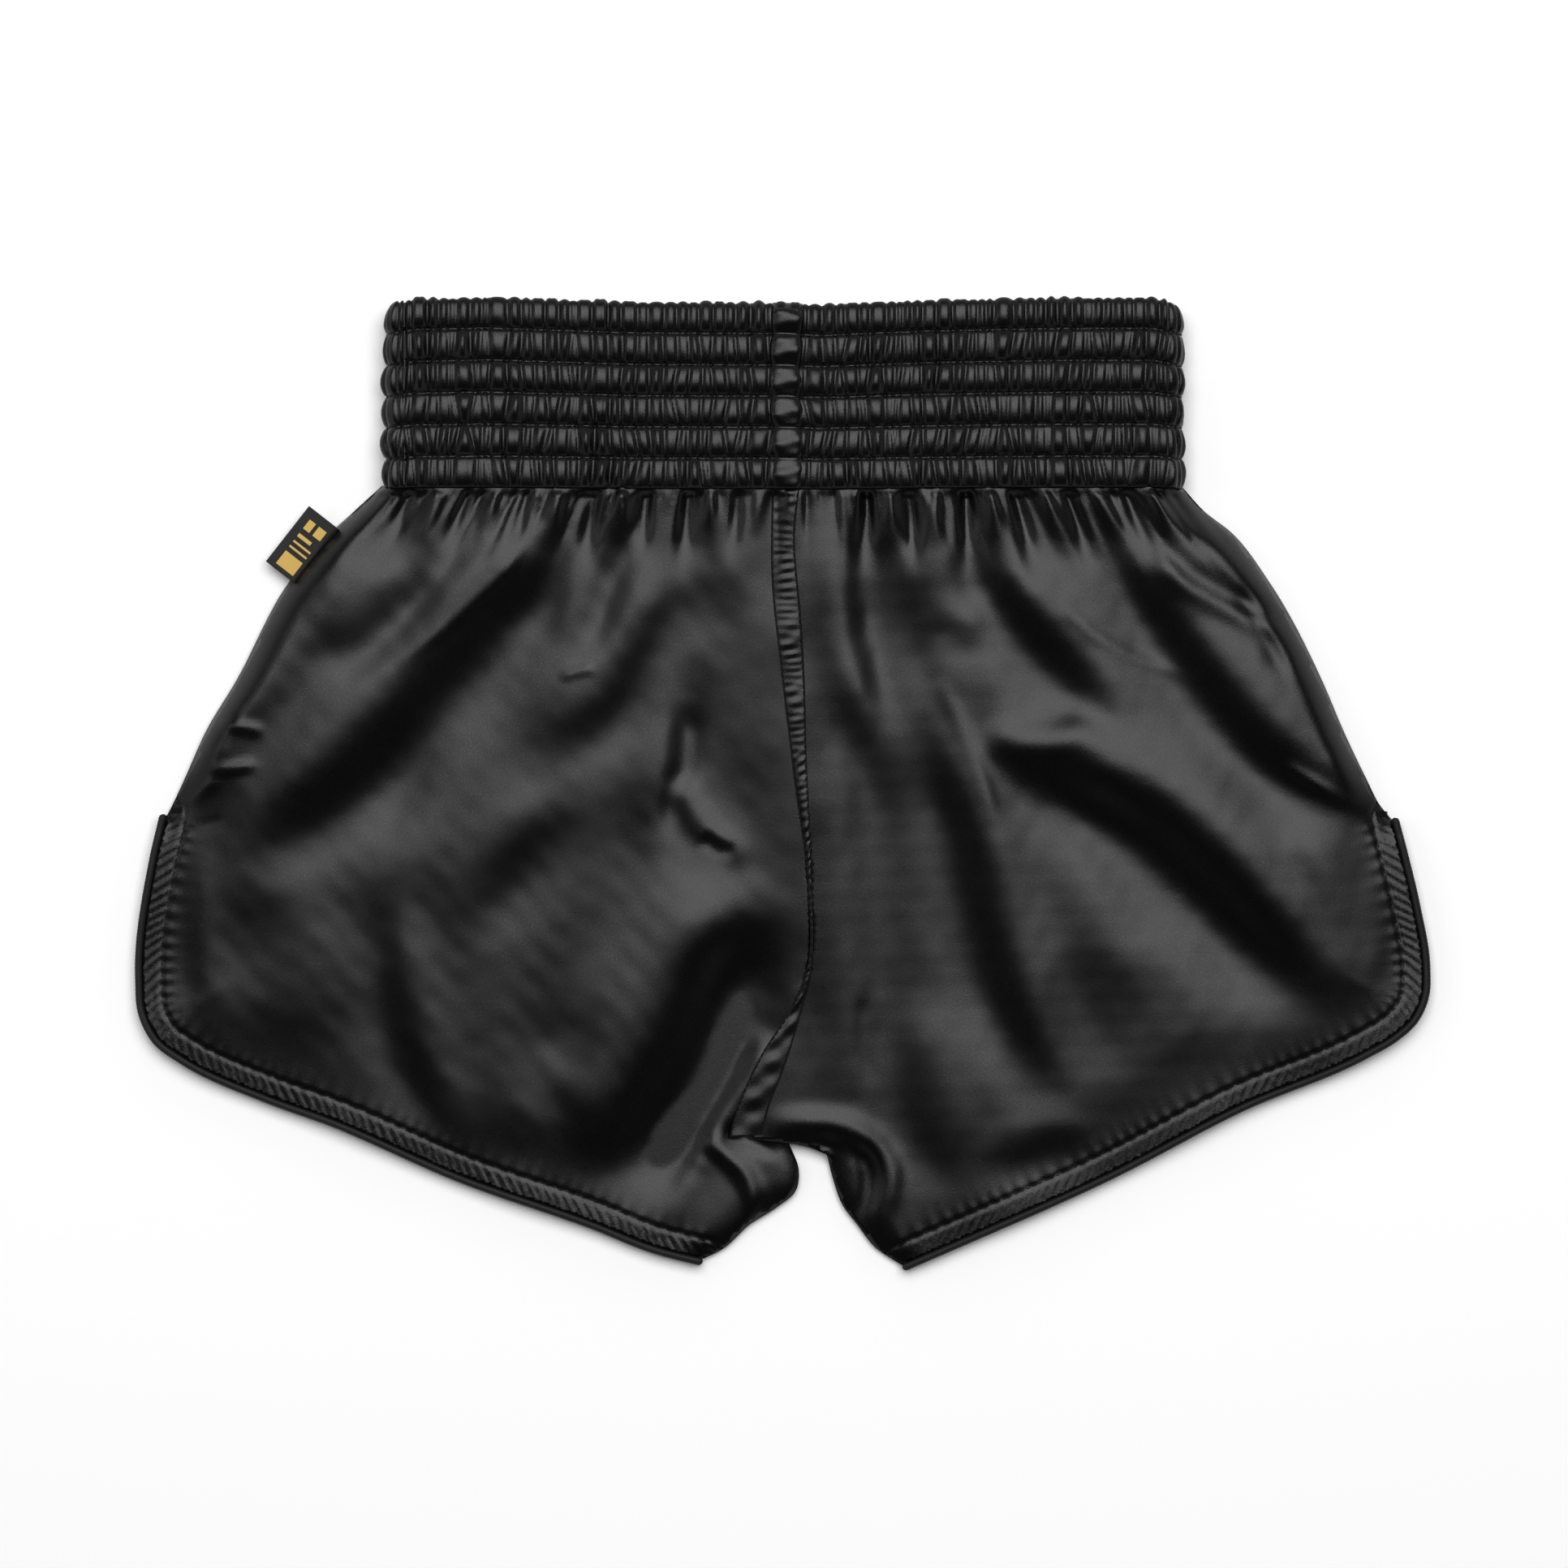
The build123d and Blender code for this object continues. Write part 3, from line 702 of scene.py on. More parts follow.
class Pleats:
    """Uneven small pleats round the waist, each stitch row with its own spacing."""

    def __init__(self):
        rng = np.random.default_rng(11)
        count = int(waist_length() / 4.9)
        widths = rng.uniform(0.62, 1.4, count)
        base = np.cumsum(widths) / widths.sum() * waist_length()
        self.rows = [np.sort(base + rng.uniform(-reach, reach, count))
                     for reach in (2.2, 2.2, 2.4, 1.6, 1.3, 1.6, 1.2)]
        self.depth = rng.uniform(0.55, 1.25, (CHANNELS, count + 2))
        self.crease = rng.uniform(-0.35, 0.35, (CHANNELS, count + 2))
        self.bulge = [0.85, 0.95, 1.0, 1.25, 0.95, 0.9]

    def stand_out(self, s, row, share):
        """Distance from the waist's middle, part way up one channel."""
        edges = self.rows[row] * (1 - share) + self.rows[row + 1] * share
        place = np.searchsorted(edges, s)
        low = np.where(place > 0, edges[np.maximum(place - 1, 0)], edges[-1] - waist_length())
        high = np.where(place < len(edges), edges[np.minimum(place, len(edges) - 1)],
                        edges[0] + waist_length())
        t = (s - low) / np.maximum(high - low, 1e-6)
        wide = np.clip((high - low) / 5.0, 0.5, 1.4)
        crest = 1 - np.abs(2 * t - 1) ** 2.6
        crest = crest + self.crease[row][place] * np.sin(3 * math.pi * t) * 0.5
        arch = math.sin(math.pi * share) ** 0.75
        depth = self.depth[row][place] * wide * PLEAT * (0.32 + 0.68 * arch)
        sunk = 0.6 if share == 0 else 0.0
        return GROOVE - 0.3 - sunk + self.bulge[row] * PUFF * arch + depth * (crest - 0.25)


def make_waist_cloth(name):
    """Casing of the waistband: pleated outside, folded over at the top, flatter inside."""
    pleats = Pleats()
    columns = 1000
    s = np.linspace(0, waist_length(), columns, endpoint=False)
    x0, out_x, out_z = waist_place(s)
    steps = [0.0, 0.05, 0.14, 0.28, 0.42, 0.58, 0.72, 0.86, 0.95]
    rings = []
    for row in range(CHANNELS - 1):
        rings += [(row, share) for share in steps]
    profile = [(row + share, pleats.stand_out(s, row, share)) for row, share in rings]
    top = CHANNELS - 1
    for share in steps[:5]:
        profile.append((top + share, pleats.stand_out(s, top, share)))
    crest = pleats.stand_out(s, top, 0.42)
    fold = 6.2
    for turn in np.linspace(0.2, 1.0, 6):
        rise = math.sin(turn * math.pi / 2)
        profile.append((top + 0.42 + 0.54 * rise + 0.055 * (crest - 8.8) * rise,
                        fold + (crest - fold) * math.cos(turn * math.pi / 2)))
    inner = 4.9 + 0.35 * crests(s / 5.3 + 0.4 * np.sin(s / 17.0))
    for turn in (0.35, 0.75, 1.0):
        profile.append((CHANNELS - 0.04 - 0.5 * turn**2, fold + (inner - fold) * turn))
    for share in np.linspace(CHANNELS - 1.2, 0.06, 9):
        profile.append((share, inner + 0.15 * math.cos(2 * math.pi * share)))
    points, uv = [], []
    travelled = 0.0
    for k, (height, r) in enumerate(profile):
        height = height + np.zeros(columns)
        r = r + np.zeros(columns)
        pressed = np.clip(-1.6 * out_z, 0, 1)
        r = np.where(r > GROOVE - 0.4, r - 0.45 * pressed * (r - GROOVE + 0.4), r)
        r = np.minimum(r, np.where(pressed > 0, 8.9, 99.0))
        x = x0 + out_x * r
        z = WAIST_MIDDLE_Z + out_z * r
        y = waist_y(x, height)
        points.append(np.stack([x, y, z], axis=1))
        travelled += 0 if k == 0 else abs(float(np.mean(height)) - last) * PITCH + 0.3
        last = float(np.mean(height))
        uv.append(np.stack([s, np.full(columns, travelled)], axis=1))
    faces = grid_faces(len(profile), columns, closed=True)
    return make_piece(name, np.concatenate(points), faces, np.concatenate(uv))


def waist_stitch_lines(rows):
    """Middle lines of stitch rows round the waist, with the way out from the cloth."""
    lines = []
    s = np.linspace(0, waist_length(), 1300)
    x0, out_x, out_z = waist_place(s)
    for row in rows:
        r = GROOVE + 0.12
        x = x0 + out_x * r
        lift = 0.12 if row == 0 else 0.0
        y = waist_y(x, row + lift)
        y = y + 0.35 * np.sin(s / 1.9) + 0.2 * np.sin(s / 0.83)
        z = WAIST_MIDDLE_Z + out_z * r
        line = np.stack([x, y, z], axis=1)
        normals = np.stack([out_x, np.zeros(len(s)), out_z], axis=1)
        lines.append((line, normals))
    return lines


# ------------------------------------------------------------------ materials

def group_socket(group, name, kind, way, value=None):
    """Add a named input or output to a node group."""
    socket = group.interface.new_socket(name=name, in_out=way, socket_type=kind)
    if value is not None:
        socket.default_value = value
    return socket


def set_inputs(node, values):
    """Set several inputs of a node by name."""
    for name, value in values.items():
        node.inputs[name].default_value = value


def thread_grain():
    """Node group: fine uneven grain and weave of a satin or woven thread surface."""
    if "Thread grain" in bpy.data.node_groups:
        return bpy.data.node_groups["Thread grain"]
    group = bpy.data.node_groups.new("Thread grain", "ShaderNodeTree")
    group_socket(group, "Place", "NodeSocketVector", "INPUT")
    group_socket(group, "Grain size", "NodeSocketFloat", "INPUT", 900.0)
    group_socket(group, "Weave pitch", "NodeSocketFloat", "INPUT", 1400.0)
    group_socket(group, "Weave", "NodeSocketFloat", "INPUT", 0.4)
    group_socket(group, "Height", "NodeSocketFloat", "OUTPUT")
    group_socket(group, "Slow", "NodeSocketFloat", "OUTPUT")
    nodes, links = group.nodes, group.links
    start = nodes.new("NodeGroupInput")
    end = nodes.new("NodeGroupOutput")
    grain = nodes.new("ShaderNodeTexNoise")
    grain.inputs["Detail"].default_value = 2.0
    weave = nodes.new("ShaderNodeTexWave")
    weave.bands_direction = "DIAGONAL"
    weave.inputs["Distortion"].default_value = 1.5
    slow = nodes.new("ShaderNodeTexNoise")
    set_inputs(slow, {"Scale": 70.0, "Detail": 2.0})
    mix = nodes.new("ShaderNodeMix")
    for texture in (grain, weave, slow):
        links.new(start.outputs["Place"], texture.inputs["Vector"])
    links.new(start.outputs["Grain size"], grain.inputs["Scale"])
    links.new(start.outputs["Weave pitch"], weave.inputs["Scale"])
    links.new(start.outputs["Weave"], mix.inputs[0])
    links.new(grain.outputs[0], mix.inputs[2])
    links.new(weave.outputs["Fac"], mix.inputs[3])
    links.new(mix.outputs[0], end.inputs["Height"])
    links.new(slow.outputs[0], end.inputs["Slow"])
    return group


def cloth_material(name, dark, light, roughness, spread, grain, weave, depth,
                   specular=0.5):
    """Woven cloth whose colour, gloss and relief all vary with its threads."""
    if name in bpy.data.materials:
        return bpy.data.materials[name]
    material = bpy.data.materials.new(name)
    material.use_nodes = True
    nodes, links = material.node_tree.nodes, material.node_tree.links
    nodes.clear()
    out = nodes.new("ShaderNodeOutputMaterial")
    shader = nodes.new("ShaderNodeBsdfPrincipled")
    place = nodes.new("ShaderNodeTexCoord")
    threads = nodes.new("ShaderNodeGroup")
    threads.node_tree = thread_grain()
    set_inputs(threads, {"Grain size": grain, "Weave pitch": grain * 1.4, "Weave": weave})
    colour = nodes.new("ShaderNodeMix")
    colour.data_type = "RGBA"
    colour.inputs[6].default_value = (*dark, 1)
    colour.inputs[7].default_value = (*light, 1)
    gloss = nodes.new("ShaderNodeMapRange")
    set_inputs(gloss, {"From Min": 0.3, "From Max": 0.7,
                       "To Min": roughness - spread, "To Max": roughness + spread})
    bump = nodes.new("ShaderNodeBump")
    set_inputs(bump, {"Strength": 1.0, "Distance": depth})
    links.new(place.outputs["Object"], threads.inputs["Place"])
    links.new(threads.outputs["Slow"], colour.inputs[0])
    links.new(threads.outputs["Height"], gloss.inputs["Value"])
    links.new(threads.outputs["Height"], bump.inputs["Height"])
    links.new(colour.outputs[2], shader.inputs["Base Color"])
    links.new(gloss.outputs[0], shader.inputs["Roughness"])
    links.new(bump.outputs["Normal"], shader.inputs["Normal"])
    shader.inputs["Specular IOR Level"].default_value = specular
    links.new(shader.outputs["BSDF"], out.inputs["Surface"])
    return material


def satin():
    """Black satin."""
    colours = bpy.context.scene.shorts_colours
    dark = tuple(colours.satin)
    light = tuple(1.5 * c for c in dark)
    return cloth_material("Black satin", dark, light, colours.satin_gloss, 0.05,
                          2100, 0.05, 0.00006, specular=0.4)


def cord_satin():
    """Tighter, duller bias cloth round the cord."""
    return cloth_material("Corded edge cloth", (0.004, 0.004, 0.004), (0.008, 0.008, 0.008),
                          0.5, 0.06, 1500, 0.5, 0.00005, specular=0.35)


def sewing_thread():
    """Black polyester thread."""
    return cloth_material("Black thread", (0.003, 0.003, 0.003), (0.008, 0.008, 0.008), 0.55, 0.08,
                          2600, 0.7, 0.00004, specular=0.3)


def elastic_cloth():
    """Knitted elastic."""
    return cloth_material("Knitted elastic", (0.03, 0.03, 0.032), (0.05, 0.05, 0.052), 0.75, 0.08,
                          1300, 0.8, 0.0001)


def filler_cotton():
    """Undyed cotton filler cord."""
    return cloth_material("Cotton filler", (0.42, 0.40, 0.36), (0.56, 0.54, 0.49), 0.85, 0.06,
                          1800, 0.6, 0.0001)


def label_material():
    """Woven tape: black ground with plain gold bars and blocks."""
    name = "Woven label"
    material = cloth_material(name, (0.012, 0.012, 0.012), (0.022, 0.022, 0.022), 0.62, 0.08,
                              1700, 0.7, 0.00006)
    nodes, links = material.node_tree.nodes, material.node_tree.links
    if "Bars" in nodes:
        return material
    shader = next(n for n in nodes if n.type == "BSDF_PRINCIPLED")
    ground = shader.inputs["Base Color"].links[0].from_socket
    uv = nodes.new("ShaderNodeUVMap")
    uv.uv_map = "cloth"
    split = nodes.new("ShaderNodeSeparateXYZ")
    links.new(uv.outputs[0], split.inputs[0])

    def joined(a, b, how):
        """Combine two masks or values."""
        node = nodes.new("ShaderNodeMath")
        node.operation = how
        node.name = "Bars"
        links.new(a, node.inputs[0])
        links.new(b, node.inputs[1])
        return node.outputs[0]

    def band(source, low, high):
        """Mask of the places between two values of a coordinate."""
        sides = []
        for operation, limit in (("GREATER_THAN", low), ("LESS_THAN", high)):
            node = nodes.new("ShaderNodeMath")
            node.operation = operation
            node.inputs[1].default_value = limit * MM
            links.new(source, node.inputs[0])
            sides.append(node.outputs[0])
        return joined(*sides, "MULTIPLY")

    along = split.outputs[0]
    back_ply = nodes.new("ShaderNodeMath")
    back_ply.operation = "SUBTRACT"
    back_ply.inputs[0].default_value = LABEL_TRAVEL * MM
    links.new(split.outputs[1], back_ply.inputs[1])
    out = joined(split.outputs[1], back_ply.outputs[0], "MINIMUM")
    blocks = [(2.0, 8.6, 3.0, 11.8), (10.6, 11.5, 3.0, 11.8), (13.2, 14.1, 3.0, 11.8),
              (16.0, 17.6, 5.2, 11.8), (20.0, 24.6, 3.0, 7.0), (20.0, 24.6, 8.6, 11.8)]
    mask = None
    for a0, a1, b0, b1 in blocks:
        block = joined(band(along, a0, a1), band(out, b0, b1), "MULTIPLY")
        mask = block if mask is None else joined(mask, block, "MAXIMUM")
    gold = nodes.new("ShaderNodeMix")
    gold.data_type = "RGBA"
    gold.inputs[7].default_value = (*bpy.context.scene.shorts_colours.label_gold, 1)
    links.new(mask, gold.inputs[0])
    links.new(ground, gold.inputs[6])
    links.new(gold.outputs[2], shader.inputs["Base Color"])
    return material


def settle(piece):
    """Bake a piece's placement into its mesh."""
    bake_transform(piece)


def dress(piece, material, node=None, body=None):
    """Give a piece its material, hide the imported node it stands for and attach it to its body.

    A piece with no body has its placement baked into its mesh instead.
    """
    piece.data.materials.clear()
    piece.data.materials.append(material)
    if node:
        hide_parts(node)
    if body:
        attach(piece, body)
    else:
        settle(piece)


# ------------------------------------------------------------------ settings

class ShortsColours(bpy.types.PropertyGroup):
    """Colours and gloss."""
    satin: FloatVectorProperty(name="Satin", description="Darkest colour of the satin",
                               subtype="COLOR", size=3, default=(0.0022, 0.0022, 0.0023),
                               min=0, max=1)
    satin_gloss: FloatProperty(name="Satin roughness",
                               description="Softness of the satin's highlights",
                               default=0.30, min=0.1, max=0.9)
    label_gold: FloatVectorProperty(name="Label thread",
                                    description="Gold thread of the side label", subtype="COLOR",
                                    size=3, default=(0.62, 0.42, 0.12), min=0, max=1)


class ShortsSizes(bpy.types.PropertyGroup):
    """Sizes of the small work."""
    net: FloatProperty(name="Cloth net", description="Spacing of the cloth's points",
                       unit="LENGTH", default=0.0019, min=0.001, max=0.01)
    stitch: FloatProperty(name="Stitch pitch", description="From one stitch to the next",
                          unit="LENGTH", default=0.0027, min=0.001, max=0.01)


# ------------------------------------------------------------------ operators

CAMERA_HEIGHT = 2.6
VIEW_WIDTH = 0.644            # width of the table that the camera sees


class SHORTS_OT_stage(bpy.types.Operator):
    """Pale floor, soft lamps and the camera straight above"""
    bl_idname = "shorts.stage"
    bl_label = "Stage"

    def execute(self, context):
        bpy.ops.mesh.primitive_plane_add(size=12, location=(0, 0, -0.0002))
        floor = bpy.context.object
        floor.name = "floor"
        paint = bpy.data.materials.new("Pale floor")
        paint.use_nodes = True
        shader = paint.node_tree.nodes["Principled BSDF"]
        set_inputs(shader, {"Base Color": (0.93, 0.93, 0.93, 1), "Roughness": 0.9,
                            "Specular IOR Level": 0.1})
        floor.data.materials.append(paint)
        self.room()
        bpy.context.scene.view_settings.view_transform = "Standard"
        bpy.context.scene.view_settings.look = "Medium High Contrast"
        self.lamp("Key lamp", (0.2, 1.14, 3.0), 3.6, 2.5, 108)
        self.lamp("Side lamp", (-1.9, 0.35, 1.5), 0.9, 0.9, 4)
        camera = bpy.data.cameras.new("Camera")
        camera.sensor_width = 36
        camera.lens = camera.sensor_width * CAMERA_HEIGHT / VIEW_WIDTH
        view = bpy.data.objects.new("Camera", camera)
        view.location = (0.0, 0.0007, CAMERA_HEIGHT)
        context.collection.objects.link(view)
        context.scene.camera = view
        return {"FINISHED"}

    def room(self):
        """World that is dim overhead and pale low down, as the walls of a studio are."""
        world = bpy.data.worlds.new("Studio")
        world.use_nodes = True
        nodes, links = world.node_tree.nodes, world.node_tree.links
        background = nodes["Background"]
        background.inputs["Color"].default_value = (1, 1, 1, 1)
        place = nodes.new("ShaderNodeTexCoord")
        split = nodes.new("ShaderNodeSeparateXYZ")
        walls = nodes.new("ShaderNodeMapRange")
        walls.interpolation_type = "SMOOTHSTEP"
        set_inputs(walls, {"From Min": 0.22, "From Max": 0.55, "To Min": 0.75, "To Max": 0.03})
        links.new(place.outputs["Generated"], split.inputs[0])
        links.new(split.outputs["Z"], walls.inputs["Value"])
        links.new(walls.outputs[0], background.inputs["Strength"])
        bpy.context.scene.world = world

    def lamp(self, name, place, width, depth, power):
        """Soft rectangular lamp pointed at the shorts."""
        light = bpy.data.lights.new(name, "AREA")
        light.shape = "RECTANGLE"
        light.size, light.size_y, light.energy = width, depth, power
        lamp = bpy.data.objects.new(name, light)
        lamp.location = place
        lamp.rotation_euler = (-Vector(place)).to_track_quat("-Z", "Y").to_euler()
        bpy.context.collection.objects.link(lamp)


class SHORTS_OT_panels(bpy.types.Operator):
    """Satin back and front panels of both legs"""
    bl_idname = "shorts.panels"
    bl_label = "Leg panels"

    def execute(self, context):
        step = context.scene.shorts_sizes.net / MM
        for leg in LEGS:
            flat, faces = panel_mesh(leg, step)
            height = back_height(flat[:, 0], flat[:, 1], leg)
            self.panel(f"satin_back_{leg}", flat, faces, height, True, f"back_{leg}_panel", 1.12)
            flat, faces = panel_mesh(leg, 1.7 * step)
            height = front_height(flat[:, 0], flat[:, 1], leg)
            self.panel(f"satin_front_{leg}", flat, faces, height, False, f"front_{leg}_panel", 1.0)
        return {"FINISHED"}

    def panel(self, name, flat, faces, height, up, node, fullness):
        """One panel as a thickened sheet."""
        points = np.column_stack([flat, height])
        piece = make_piece(name, points, face_up(flat, faces, up), flat)
        thicken(piece)
        dress(piece, satin(), node)


class SHORTS_OT_centre_seams(bpy.types.Operator):
    """Felled seams down the middle of the back and front"""
    bl_idname = "shorts.centre_seams"
    bl_label = "Centre seams"

    def execute(self, context):
        left, right = smooth_line(SEAM_LINE), smooth_line(SECOND_LINE)
        piece = strip_sheet("felled_back_seam", left, right, self.back, rows=420, columns=14)
        thicken(piece, 0.5)
        dress(piece, satin(), "centre_back_seam")
        middle = middle_line()
        piece = strip_sheet("felled_front_seam", middle - [3.5, 0], middle + [3.5, 0], self.front,
                            rows=200, columns=8)
        thicken(piece, 0.5)
        dress(piece, satin(), "centre_front_seam")
        return {"FINISHED"}

    @staticmethod
    def back(x, y, s, u):
        """Puckered strip lying on the back panels."""
        both = np.maximum(back_height(x, y, "left"), back_height(x, y, "right"))
        pucker = np.sin(2 * math.pi * (s + 2.6 * u + 2.4 * np.sin(s / 6.0)) / 5.2)
        pucker = pucker * np.sin(s / 9.0 + 1)
        pucker += 0.6 * np.sin(2 * math.pi * (s - 1.5 * u + np.sin(s / 4.0)) / 3.4 + 2)
        low = ease((-72 - y) / 22)
        slack = 0.8 * np.sin(2 * math.pi * (s + 8 * u) / 15.0)
        slack = slack + 0.3 * np.sin(2 * math.pi * (s - 5 * u) / 8.7)
        swell = (0.5 + 0.15 * pucker) * (1 - low) + (0.45 + 0.3 * slack) * low
        return both + 0.08 + swell * np.sin(math.pi * np.clip(u, 0.0, 1.0)) ** 0.8

    @staticmethod
    def front(x, y, s, u):
        """Flat strip inside the front."""
        return np.full(x.shape, 1.7) + 0.1 * np.sin(s / 1.1)


class SHORTS_OT_hems(bpy.types.Operator):
    """Corded edges, facings and top-stitching of the hems"""
    bl_idname = "shorts.hems"
    bl_label = "Hems"

    def execute(self, context):
        for leg, side in LEGS.items():
            edge = even_line(smooth_line(HEM[leg]), 0.42)
            outward = side_of_line(edge) * side
            for face, height in (("back", back_height), ("front", front_height)):
                self.cord(face, leg, edge, outward, height)
                self.facing(face, leg, edge, outward, height)
                self.stitching(face, leg, edge, outward, height)
        return {"FINISHED"}

    def cord(self, face, leg, edge, outward, height):
        """Ribbed cover and the filler inside it."""
        radius = PIPING / 2
        flat = edge + outward * (radius - 0.25)
        if face == "front":
            z = np.full(len(edge), radius + 0.02)
        else:
            z = height(edge[:, 0], edge[:, 1], leg) - CLOTH / 2
            z = np.convolve(np.pad(z, 4, mode="edge"), np.ones(9) / 9, "valid")
            z = np.maximum(z, radius + PIPING + 0.15)
        line = np.column_stack([flat, z])
        cover = tube(f"corded_edge_{face}_{leg}", line, radius, around=14, rib=0.16, rib_pitch=1.5)
        dress(cover, cord_satin(), f"{face}_{leg}_piping", "root")
        filler = tube(f"filler_cord_{face}_{leg}", line[6:-6:3], 0.85, around=8)
        dress(filler, filler_cotton(), f"{face}_{leg}_piping_core", "root")

    def facing(self, face, leg, edge, outward, height):
        """Turned-in band behind the hem."""
        offset = -0.75 if face == "back" else 0.75
        top = edge[::3] - outward[::3] * HEM_BAND

        def inside(x, y, s, u):
            """Just inside the panel."""
            return height(x, y, leg) + offset
        piece = strip_sheet(f"facing_{face}_{leg}", edge[::3], top, inside, rows=300, columns=8)
        thicken(piece, 0.3)
        dress(piece, satin(), f"{face}_{leg}_hem_facing", "root")

    def stitching(self, face, leg, edge, outward, height):
        """Top-stitching that holds the facing."""
        pitch = bpy.context.scene.shorts_sizes.stitch / MM
        flat = edge - outward * HEM_BAND
        z = height(flat[:, 0], flat[:, 1], leg)
        up = 1.0 if face == "back" else -1.0
        z = z + (0.1 if face == "back" else -0.1)
        normals = np.tile([0.0, 0.0, up], (len(flat), 1))
        piece = stitches(f"topstitch_{face}_{leg}", [(np.column_stack([flat, z]), normals)], pitch,
                         thick=0.4)
        dress(piece, sewing_thread(), f"{face}_{leg}_hem_stitching", "root")


class SHORTS_OT_closed_seams(bpy.types.Operator):
    """Turned-in allowances of the side and inner leg seams"""
    bl_idname = "shorts.closed_seams"
    bl_label = "Closed seams"

    def execute(self, context):
        for leg, side in LEGS.items():
            for name, points, turn, body in (("side_seam", SIDE_SEAM, 1, None),
                                             ("inner_leg_seam", INNER_LEG, -1, "root")):
                edge = even_line(smooth_line(points[leg]), 1.5)
                inward = -side_of_line(edge) * side * turn
                outer, inner = edge + inward * 0.8, edge + inward * 6.0
                piece = strip_sheet(f"allowance_{leg}_{name}", outer, inner, self.height,
                                    rows=160, columns=6)
                thicken(piece, 0.6)
                dress(piece, satin(), f"{leg}_{name}", body)
        return {"FINISHED"}

    @staticmethod
    def height(x, y, s, u):
        """Lying between the front and the back."""
        return 2.2 + 0.15 * np.sin(s / 1.3) * u


class SHORTS_OT_seam_stitches(bpy.types.Operator):
    """Stitch lines of the centre seam and the bartacks over the slits"""
    bl_idname = "shorts.seam_stitches"
    bl_label = "Seam stitches"

    def execute(self, context):
        pitch = context.scene.shorts_sizes.stitch / MM
        lines = []
        for points, shift in ((SEAM_LINE, 0.5), (SECOND_LINE, -0.6)):
            line = even_line(smooth_line(points), 0.8)
            line = line[line[:, 1] < WAIST_SEAM_Y - 1] + [shift, 0]
            x, y = line[:, 0], line[:, 1]
            z = np.maximum(back_height(x, y, "left"), back_height(x, y, "right")) + 0.62
            lines.append((np.column_stack([line, z]), np.tile([0, 0, 1.0], (len(line), 1))))
        piece = stitches("centre_seam_stitches", lines, pitch, thick=0.4)
        dress(piece, sewing_thread())
        tacks = []
        for leg, side in LEGS.items():
            start = Vector((*HEM[leg][0], 0))
            for k in range(6):
                a = np.array([start.x - side * 1.0, start.y + 0.6 + 0.42 * k])
                b = np.array([start.x - side * 8.0, start.y + 1.4 + 0.42 * k])
                flat = np.linspace(a, b, 12)
                z = back_height(flat[:, 0], flat[:, 1], leg) + 0.15
                tacks.append((np.column_stack([flat, z]), np.tile([0, 0, 1.0], (12, 1))))
        piece = stitches("slit_tacks", tacks, 1.9, length=1.8, thick=0.45)
        dress(piece, sewing_thread(), "slit_bartacks", "root")
        return {"FINISHED"}


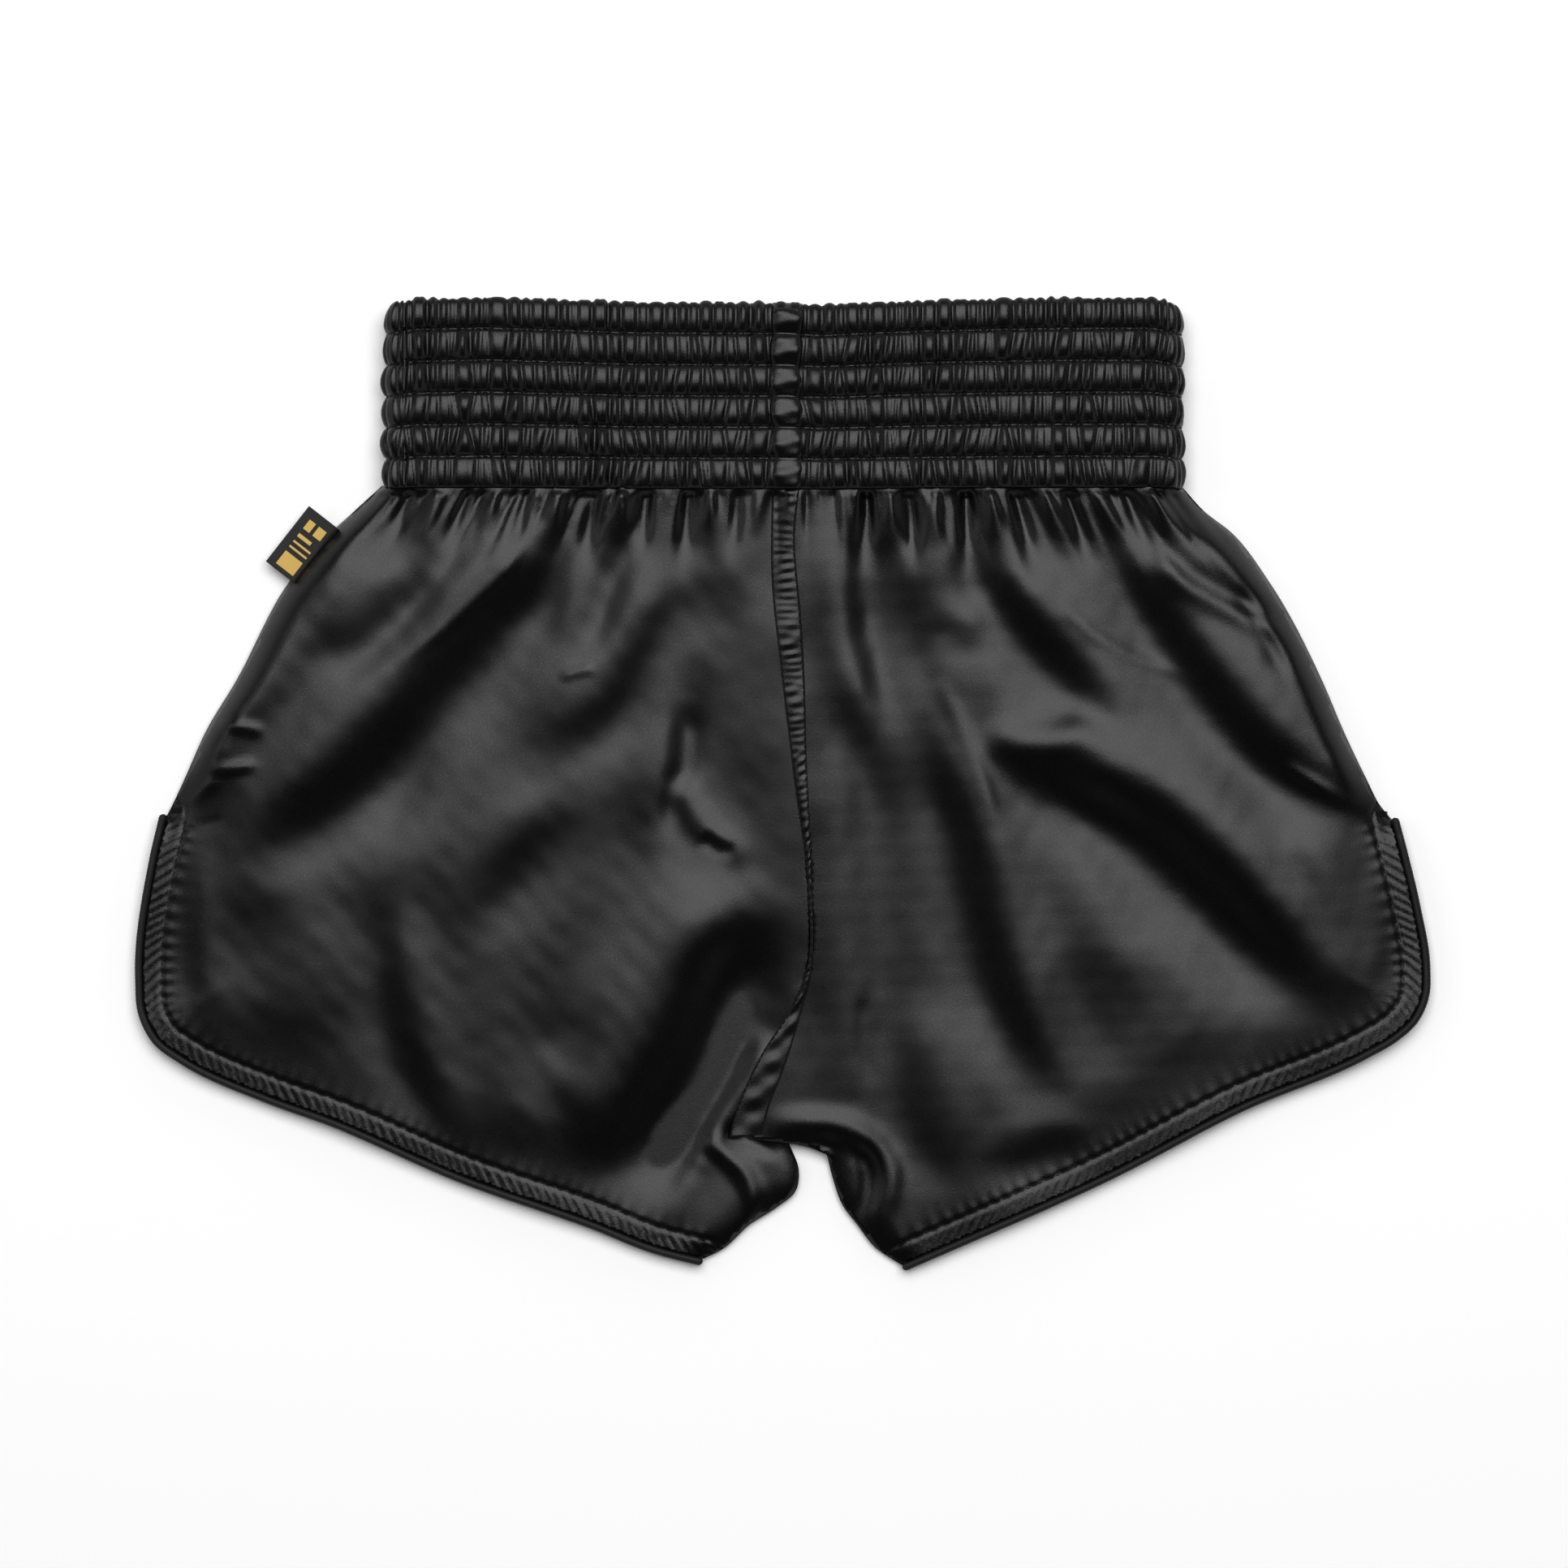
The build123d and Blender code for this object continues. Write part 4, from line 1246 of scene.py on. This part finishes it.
class SHORTS_OT_waistband(bpy.types.Operator):
    """Ruched casing, its stitch rows, the strip over its join and the elastics inside"""
    bl_idname = "shorts.waistband"
    bl_label = "Waistband"

    def execute(self, context):
        piece = make_waist_cloth("ruched_casing")
        thicken(piece, 0.25)
        dress(piece, satin(), "waistband_casing", "waistband")
        pitch = context.scene.shorts_sizes.stitch / MM
        rows = stitches("casing_stitches", waist_stitch_lines(range(1, CHANNELS)), pitch,
                        thick=0.45)
        dress(rows, sewing_thread(), "waistband_stitching", "waistband")
        seam = stitches("waist_seam_stitches", waist_stitch_lines([0]), pitch, thick=0.5)
        dress(seam, sewing_thread(), "waist_seam_stitching", "waistband")
        self.strip()
        for row in range(CHANNELS):
            self.elastic(row)
        return {"FINISHED"}

    def elastic(self, row):
        """Flat elastic loop lying in one channel, following its sway."""
        corners = [(-4.9, 5.9), (-4.9, 6.9), (-4.4, 7.15), (0, 7.2), (4.4, 7.15), (4.9, 6.9),
                   (4.9, 5.9), (4.4, 5.8), (0, 5.8), (-4.4, 5.8)]
        columns = 260
        s = np.linspace(0, waist_length(), columns, endpoint=False)
        x0, out_x, out_z = waist_place(s)
        points, uv = [], []
        for k, (across, r) in enumerate(corners + corners[:1]):
            x = x0 + out_x * r
            y = waist_y(x, row + 0.5 + across / PITCH)
            points.append(np.stack([x, y, WAIST_MIDDLE_Z + out_z * r], axis=1))
            uv.append(np.stack([s, np.full(columns, float(k))], axis=1))
        grid = grid_faces(len(corners) + 1, columns, closed=True) % (len(corners) * columns)
        name = f"elastic_loop_{row + 1}"
        piece = make_piece(name, np.concatenate(points[:-1]), grid, np.concatenate(uv[:-1]))
        recalculate(piece)
        dress(piece, elastic_cloth(), f"waist_elastic_{row + 1}", "waistband")

    def strip(self):
        """Smooth strip over the join at the centre back, pinched at each stitch row."""
        low, high = node_box("waistband_back_strip")
        across, up = 18, 130
        u = np.linspace(-1, 1, across)
        v = np.linspace(0.01, CHANNELS - 0.02, up)
        uu, vv = np.meshgrid(u, v)
        middle = (low[0] + high[0]) / 2 + 0.5 * np.sin(vv * 1.3)
        half = (high[0] - low[0]) / 2 + 0.6 * np.sin(math.pi * vv) ** 2 - 0.4
        x = middle + half * uu
        y = waist_y(x, vv)
        puff = np.abs(np.sin(math.pi * vv)) ** 0.6
        wrinkle = np.sin(7.0 * vv + 2.2 * uu) * 0.16 + np.sin(13.0 * vv - 1.7 * uu + 1) * 0.13
        z = WAIST_MIDDLE_Z + 8.9 + 1.5 * puff + wrinkle - 1.6 * np.abs(uu) ** 4 - 0.5 * (1 - puff)
        z -= 4.0 * np.clip(vv - CHANNELS + 0.45, 0, 1) ** 2 * 4
        points = np.stack([x, y, z], axis=-1).reshape(-1, 3)
        piece = make_piece("join_strip", points, grid_faces(up, across), points[:, :2])
        thicken(piece, 0.4)
        dress(piece, satin(), "waistband_back_strip", "waistband")


class SHORTS_OT_label(bpy.types.Operator):
    """Folded woven label in the left side seam"""
    bl_idname = "shorts.label"
    bl_label = "Side label"

    def execute(self, context):
        hinge = next(j for j in frame["joints"] if j["name"] == "label_flap")
        foot = np.array(hinge["pos_m"]) / MM
        along = np.array(hinge["axis"], float)
        out = np.array([-along[1], along[0], 0.0])
        length = 28.7
        reach = 14.2
        half_gap = 0.55
        profile = [(0.2 - 1.4, 0.35)] + [(d, half_gap) for d in np.linspace(1.0, reach - 1.0, 14)]
        for turn in np.linspace(60, -60, 7):
            rad = math.radians(turn)
            profile.append((reach - 0.6 + half_gap * math.cos(rad), half_gap * math.sin(rad)))
        profile += [(d, -half_gap) for d in np.linspace(reach - 1.0, 1.0, 14)]
        profile.append((0.2 - 1.4, -0.35))
        profile = np.array(profile)
        travel = along_line(profile)
        rows = np.linspace(-length / 2, length / 2, 40)
        points, uv = [], []
        for a in rows:
            droop = -0.10 * (profile[:, 0] / reach) ** 2 * (2.2 + 0.9 * math.sin(a / 7.0 + 1))
            place = foot + a * along + profile[:, :1] * out
            place[:, 2] += profile[:, 1] + droop
            points.append(place)
            uv.append(np.column_stack([np.full(len(profile), a + length / 2), travel]))
        piece = make_piece("woven_side_label", np.concatenate(points),
                           grid_faces(len(rows), len(profile)), np.concatenate(uv))
        thicken(piece, 0.4, side=0)
        dress(piece, label_material(), "side_label", "label")
        return {"FINISHED"}


class SHORTS_PT_panel(bpy.types.Panel):
    """Lists the pieces of the shorts"""
    bl_idname = "SHORTS_PT_panel"
    bl_label = "Boxing shorts"
    bl_space_type = "VIEW_3D"
    bl_region_type = "UI"
    bl_category = "Shorts"

    def draw(self, context):
        layout = self.layout
        for group in (context.scene.shorts_colours, context.scene.shorts_sizes):
            for name in group.bl_rna.properties.keys():
                if name not in ("rna_type", "name"):
                    layout.prop(group, name)
        for operator in PIECES:
            layout.operator(operator.bl_idname)


PIECES = (
    SHORTS_OT_stage,
    SHORTS_OT_panels,
    SHORTS_OT_centre_seams,
    SHORTS_OT_closed_seams,
    SHORTS_OT_hems,
    SHORTS_OT_seam_stitches,
    SHORTS_OT_waistband,
    SHORTS_OT_label,
)
CLASSES = (ShortsColours, ShortsSizes) + PIECES + (SHORTS_PT_panel,)


def register():
    """Register the classes and the scene's settings."""
    for item in CLASSES:
        bpy.utils.register_class(item)
    bpy.types.Scene.shorts_colours = PointerProperty(type=ShortsColours)
    bpy.types.Scene.shorts_sizes = PointerProperty(type=ShortsSizes)


def unregister():
    """Undo register."""
    del bpy.types.Scene.shorts_colours
    del bpy.types.Scene.shorts_sizes
    for item in reversed(CLASSES):
        bpy.utils.unregister_class(item)


def main():
    """Make the shorts, piece by piece."""
    register()
    bpy.ops.shorts.stage()
    bpy.ops.shorts.panels()
    bpy.ops.shorts.centre_seams()
    bpy.ops.shorts.closed_seams()
    bpy.ops.shorts.hems()
    bpy.ops.shorts.seam_stitches()
    bpy.ops.shorts.waistband()
    bpy.ops.shorts.label()


if __name__ == "__main__":
    main()
